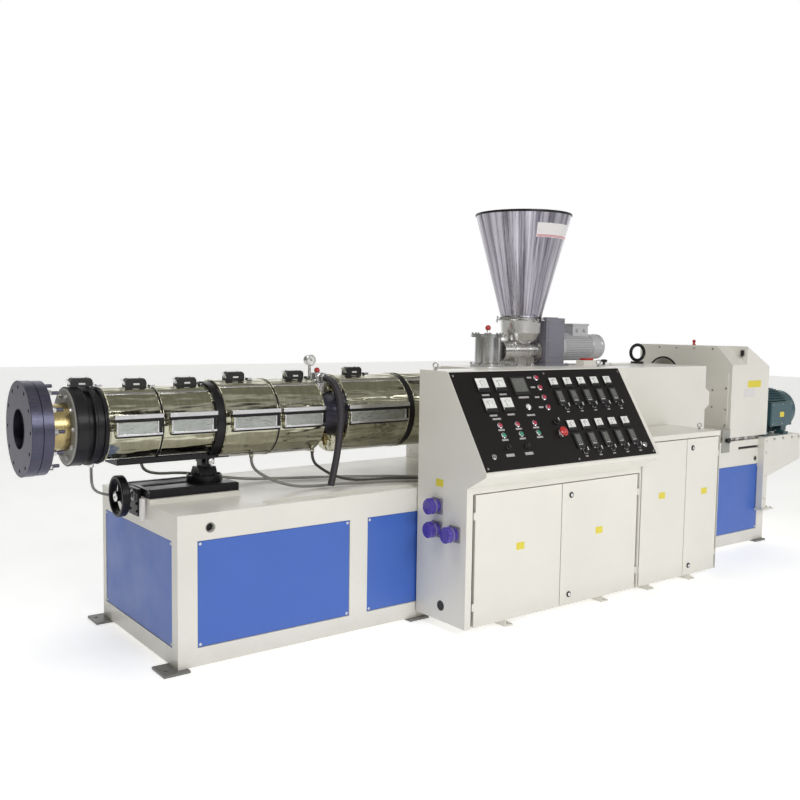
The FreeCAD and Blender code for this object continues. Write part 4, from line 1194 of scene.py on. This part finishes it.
def makeGuardTrim():
    x0, split = guardSettings["start"], guardSettings["split"]
    panel = bmesh.new()
    addBox(panel, x0 - 4, x0 + 1, 28, 470, 908, 1318)
    finishPiece(panel, "guardPanels", creamPaint, bevel=1.5)
    spots = [(x0 - 4, y, z) for y, z in ((160, 1185), (160, 1055), (44, 1205), (44, 1044), (44, 925),
                                         (300, 925), (300, 1300), (452, 925), (452, 1300))]
    spots += [(x0, y, 1498) for y in (175, 339, 500, 661)] + [(x0, y, 852) for y in (60, 330, 600, 820)]
    screws("guardScrews", spots, toDie, 6.5, 4, 16)
    makePiece("shaftCollar", blackPaint, addTurned, [
        ((x0 + 1, *guardSettings["shaft"]), toDie, [(133, 0), (146, 0), (146, 4), (133, 5)], 60),
        ((x0 - 40, *guardSettings["shaft"]), toMotor, [(46, 0), (66, 0), (66, 26), (46, 28)], 48)], bevel=1)
    makePiece("guardLatches", blackPlastic, addBox, [
        (split - 14, split, 26, 52, 1450, 1490),
        (split - 20, split - 8, 32, 46, 1440, 1474)], bevel=2)
    makePiece("guardBlankPlate", yellowPlate, addBox, [(4592, 4766, -1.2, 1, 1208, 1260)], bevel=0.4)
    bm = bmesh.new()
    addTurned(bm, (4610, 505, 1519), upward, [(0, 0), (15, 0), (12, 8), (9, 12), (9, 18), (0, 18)], 24)
    addBall(bm, (4610, 505, 1548), 14)
    finishPiece(bm, "guardKnob", redPlastic, bevel=0)
    makePiece("guardWhitePlate", palePlate, addBox, [(4545, 4690, -1.2, 1, 1136, 1198)], bevel=0.4)
    # small plate and valves on the base below the guard
    plate, valves = bmesh.new(), bmesh.new()
    addBox(plate, 4280, 4378, -6, 0, 728, 901)
    finishPiece(plate, "valvePlate", plateGrey, bevel=1)
    # painted shade: a black strip stands in for the shade in a slot in the base, and a black disc for the
    # shade inside the hole under the grey lip
    slotAndHoleShade = bmesh.new()
    addBox(slotAndHoleShade, 4502, 4768, 10, 12, 740, 756)
    addTurned(slotAndHoleShade, (4732, -0.5, 656), toFront, [(0, 0), (14, 0), (14, 1), (0, 1)], 28)
    finishPiece(slotAndHoleShade, "baseSlotAndHoleShade", blackPaint, bevel=0)
    addTurned(valves, (4330, -6, 820), toFront,
              [(0, 0), (16, 0), (16, 5), (9, 8), (9, 16), (20, 18), (20, 26), (0, 28)], 24)
    finishPiece(valves, "valveKnob", blackPlastic, bevel=0)
    bm = bmesh.new()
    for x in (4420, 4700):
        addRod(bm, (x, 30, 805), upward, 13, 34, 2, 6)
        addRod(bm, (x, 30, 836), upward, 6, 16, 1)
        addRod(bm, (x - 22, 30, 821), toMotor, 15, 10, 1.5, 6)
        addRod(bm, (x + 12, 30, 821), toMotor, 15, 10, 1.5, 6)
    finishPiece(bm, "pipeFittings", bareSteel, bevel=0)
    makePiece("valveLevers", palePlate, addBox, [
        (x - 24, x + 24, 24, 36, 846, 853) for x in (4420, 4700)], bevel=1.5)
    makePiece("baseHoleLip", plateGrey, addTurned, [
        ((4732, 0, 656), toFront, [(14, 0), (20, 0), (20, 2), (14, 2)], 28)], bevel=0)


motorSettings = {"y": 250, "z": 988, "start": 4906, "middle": 5118, "finRing": 0.174,
                 "finSize": (0.40, 0.005, 0.018)}


def makeMotorTrim():
    y, z = motorSettings["y"], motorSettings["z"]
    # fins everywhere but under the lead box on the operator side
    for name, count, first, sweep in (("motorFinsUpper", 25, -0.95, 3.7), ("motorFinsLower", 7, 4.05, 1.1)):
        grow(name, finTree, [(motorSettings["middle"], y, z)],
             {"Count": count, "Body Radius": motorSettings["finRing"], "Fin Size": motorSettings["finSize"],
              "Start Angle": first, "Sweep": sweep}, tealPaint)
    screws("motorBellBolts", aroundX(motorSettings["start"], y, z, 172, 8, 22), toMotor, 7, 6)
    screws("motorFeetBolts",
           [(x + 35, yy, 827) for x in (4960, 5240) for yy in (76, 142, 356, 422)], upward, 9, 8)
    makePiece("leadBoxLid", tealPaint, addBox, [
        (5002, 5314, 44, 52, 882, 1077),
        (5010, 5306, 41, 45, 890, 1069)], bevel=2.5)
    screws("leadBoxScrews", [(x, 41, zz) for x in (5024, 5158, 5292) for zz in (902, 1057)], toFront, 5, 4)
    makePiece("motorBlankPlate", yellowPlate, addPlate, [
        ([(5128, 41, 954), (5188, 41, 954), (5188, 41, 994), (5128, 41, 994)], 1.2)], bevel=0.3)
    makePiece("leadGlands", blackPlastic, addTurned, [
        ((x, 92, 886), downward, [(0, 0), (20, 0), (20, 10), (15, 12), (15, 26), (11, 30), (0, 30)], 24)
        for x in (5080, 5220)], bevel=0)
    makePiece("motorCowlEnd", tealPaint, addTurned, [
        ((5440, y, z), toMotor, [(161, -4), (158, 4), (120, 9), (120, 7), (0, 7)], 64)], bevel=0.8)
    bm = bmesh.new()
    for ring in (40, 62, 84, 106):
        addRing(bm, (5447, y, z), toMotor, ring, 1.8, 48, 6)
    for i in range(6):
        turn = Matrix.Rotation(math.radians(30 * i), 3, "X")
        addBox(bm, 5446, 5448.5, y - 110, y + 110, z - 2, z + 2, turn)
    finishPiece(bm, "motorGrille", bareSteel, bevel=0)
    bm = bmesh.new()
    eyebolt(bm, motorSettings["middle"], y, 1160, 17, (0.4, 0.9, 0))
    finishPiece(bm, "motorEyebolt", castSteel, bevel=0)
    screws("postScrews", [(4799, -52, zz) for zz in (340, 520, 700)] + [(4799, -52, 790)], toFront, 5, 3, 16)
    screws("postFootBolts", [(4762, -52, 262), (4895, -52, 262), (4895, -16, 262)], upward, 6, 6)
    screws("bracketPlateBolts", [(x, 40, 780) for x in (4930, 5060, 5190, 5320, 5420)], toFront, 9, 7)


makeGuardTrim()
makeMotorTrim()
print("drive fitted")


# glands and nuts at the ends of the conduits
def makeCordEnds():
    glands, nuts = bmesh.new(), bmesh.new()
    for name in ("conduitFirst", "conduitSecond", "conduitThird"):
        x, y, z = cordRoutes[name][0]
        addTurned(glands, (x, y, z - 4), upward,
                  [(8.6, 0), (11.5, 2), (11.5, 14), (13.5, 16), (13.5, 30), (11, 32)], 6)
        x, y, z = cordRoutes[name][-1]
        addTurned(nuts, (x, y - 1, z), toFront,
                  [(8.6, 0), (14, 0), (14, 9), (11.5, 11), (11.5, 20), (8.6, 22)], 6)
    finishPiece(glands, "conduitGlands", blackPlastic, bevel=0)
    finishPiece(nuts, "conduitNuts", chromeMetal, bevel=0)


makeCordEnds()
print("cord ends fitted")


# light, sky and floor
studioSettings = {"white": (0.62, 0.62, 0.62), "beyond": (1.15, 1.15, 1.15), "side": (0.13, 0.126, 0.098),
                  "dark": (0.03, 0.027, 0.02), "overhead": (0.25, 0.245, 0.21), "strength": 1.0,
                  "backdrop": (1.0, 1.0, 1.0), "floor": (0.90, 0.90, 0.90), "floorGlow": 0.44}
studioLights = {"key": ((700, -6300, 4200), (1600, 0, 700), (3.0, 2.2), 178),
                "fill": ((6500, -5200, 3800), (3500, 0, 900), (3.0, 2.2), 52),
                "overhead": ((-1200, 300, 5600), (1800, 300, 0), (2.6, 2.0), 70)}


def skyPatch(tree, direction, toward, low, high, behind, colour):
    # blends a colour over what lies behind it, round one direction of the sky
    dot = addNode(tree, "ShaderNodeVectorMath", {0: direction, 1: Vector(toward).normalized()},
                  operation="DOT_PRODUCT")
    amount = addNode(tree, "ShaderNodeMapRange",
                     {"Value": dot.outputs["Value"], "From Min": low, "From Max": high},
                     interpolation_type="SMOOTHSTEP")
    return mixed(tree, amount.outputs["Result"], behind, colour)


def makeSky():
    world = bpy.data.worlds.new("studio")
    bpy.context.scene.world = world
    bpy.context.scene.view_settings.view_transform = "Standard"
    world.use_nodes = True
    tree = world.node_tree
    tree.nodes.clear()
    direction = tree.nodes.new("ShaderNodeTexCoord").outputs["Generated"]
    colour = studioSettings["white"]
    for toward, low, high, patch in ((toDie, -0.3, 0.7, "side"), ((0.6, 0.8, 0.05), 0.66, 0.82, "beyond"),
                                     ((0.6, 0.1, 0.78), 0.72, 0.95, "overhead"),
                                     ((0.6, -0.8, 0.1), 0.75, 0.97, "dark")):
        colour = skyPatch(tree, direction, toward, low, high, colour, studioSettings[patch])
    sky = addNode(tree, "ShaderNodeBackground", {"Color": colour, "Strength": studioSettings["strength"]})
    # the patches light the object and mirror in it; seen directly the backdrop is plain from every side
    backdrop = addNode(tree, "ShaderNodeBackground", {"Color": studioSettings["backdrop"] + (1,)})
    path = tree.nodes.new("ShaderNodeLightPath")
    choice = addNode(tree, "ShaderNodeMixShader",
                     {0: path.outputs["Is Camera Ray"], 1: sky.outputs["Background"],
                      2: backdrop.outputs["Background"]})
    end = tree.nodes.new("ShaderNodeOutputWorld")
    tree.links.new(choice.outputs["Shader"], end.inputs["Surface"])


def makeLight(name, spot, target, size, power):
    data = bpy.data.lights.new(name, "AREA")
    data.shape = "RECTANGLE"
    data.size, data.size_y = size
    data.energy = power
    light = bpy.data.objects.new(name, data)
    bpy.context.scene.collection.objects.link(light)
    light.location = place(*spot)
    light.rotation_euler = (place(*target) - light.location).to_track_quat("-Z", "Y").to_euler()


def makeFloor():
    bm = bmesh.new()
    reach = 30000
    corners = [(-reach, -reach, -1), (reach, -reach, -1), (reach, reach, -1), (-reach, reach, -1)]
    bm.faces.new([bm.verts.new(place(*corner)) for corner in corners])
    mesh = bpy.data.meshes.new("floor")
    bm.to_mesh(mesh)
    bm.free()
    floor = bpy.data.objects.new("floor", mesh)
    bpy.context.scene.collection.objects.link(floor)
    finish = paintFinish("floorFinish", studioSettings["floor"], gloss=0.6, dust=0.0, coat=0.0, wear=0.05)
    shader = finish.node_tree.nodes["Principled BSDF"]
    shader.inputs["Emission Color"].default_value = (1, 1, 1, 1)
    shader.inputs["Emission Strength"].default_value = studioSettings["floorGlow"]
    mesh.materials.append(finish)


makeSky()
for lightName, lightPlan in studioLights.items():
    makeLight(lightName, *lightPlan)
makeFloor()
print("studio lit")
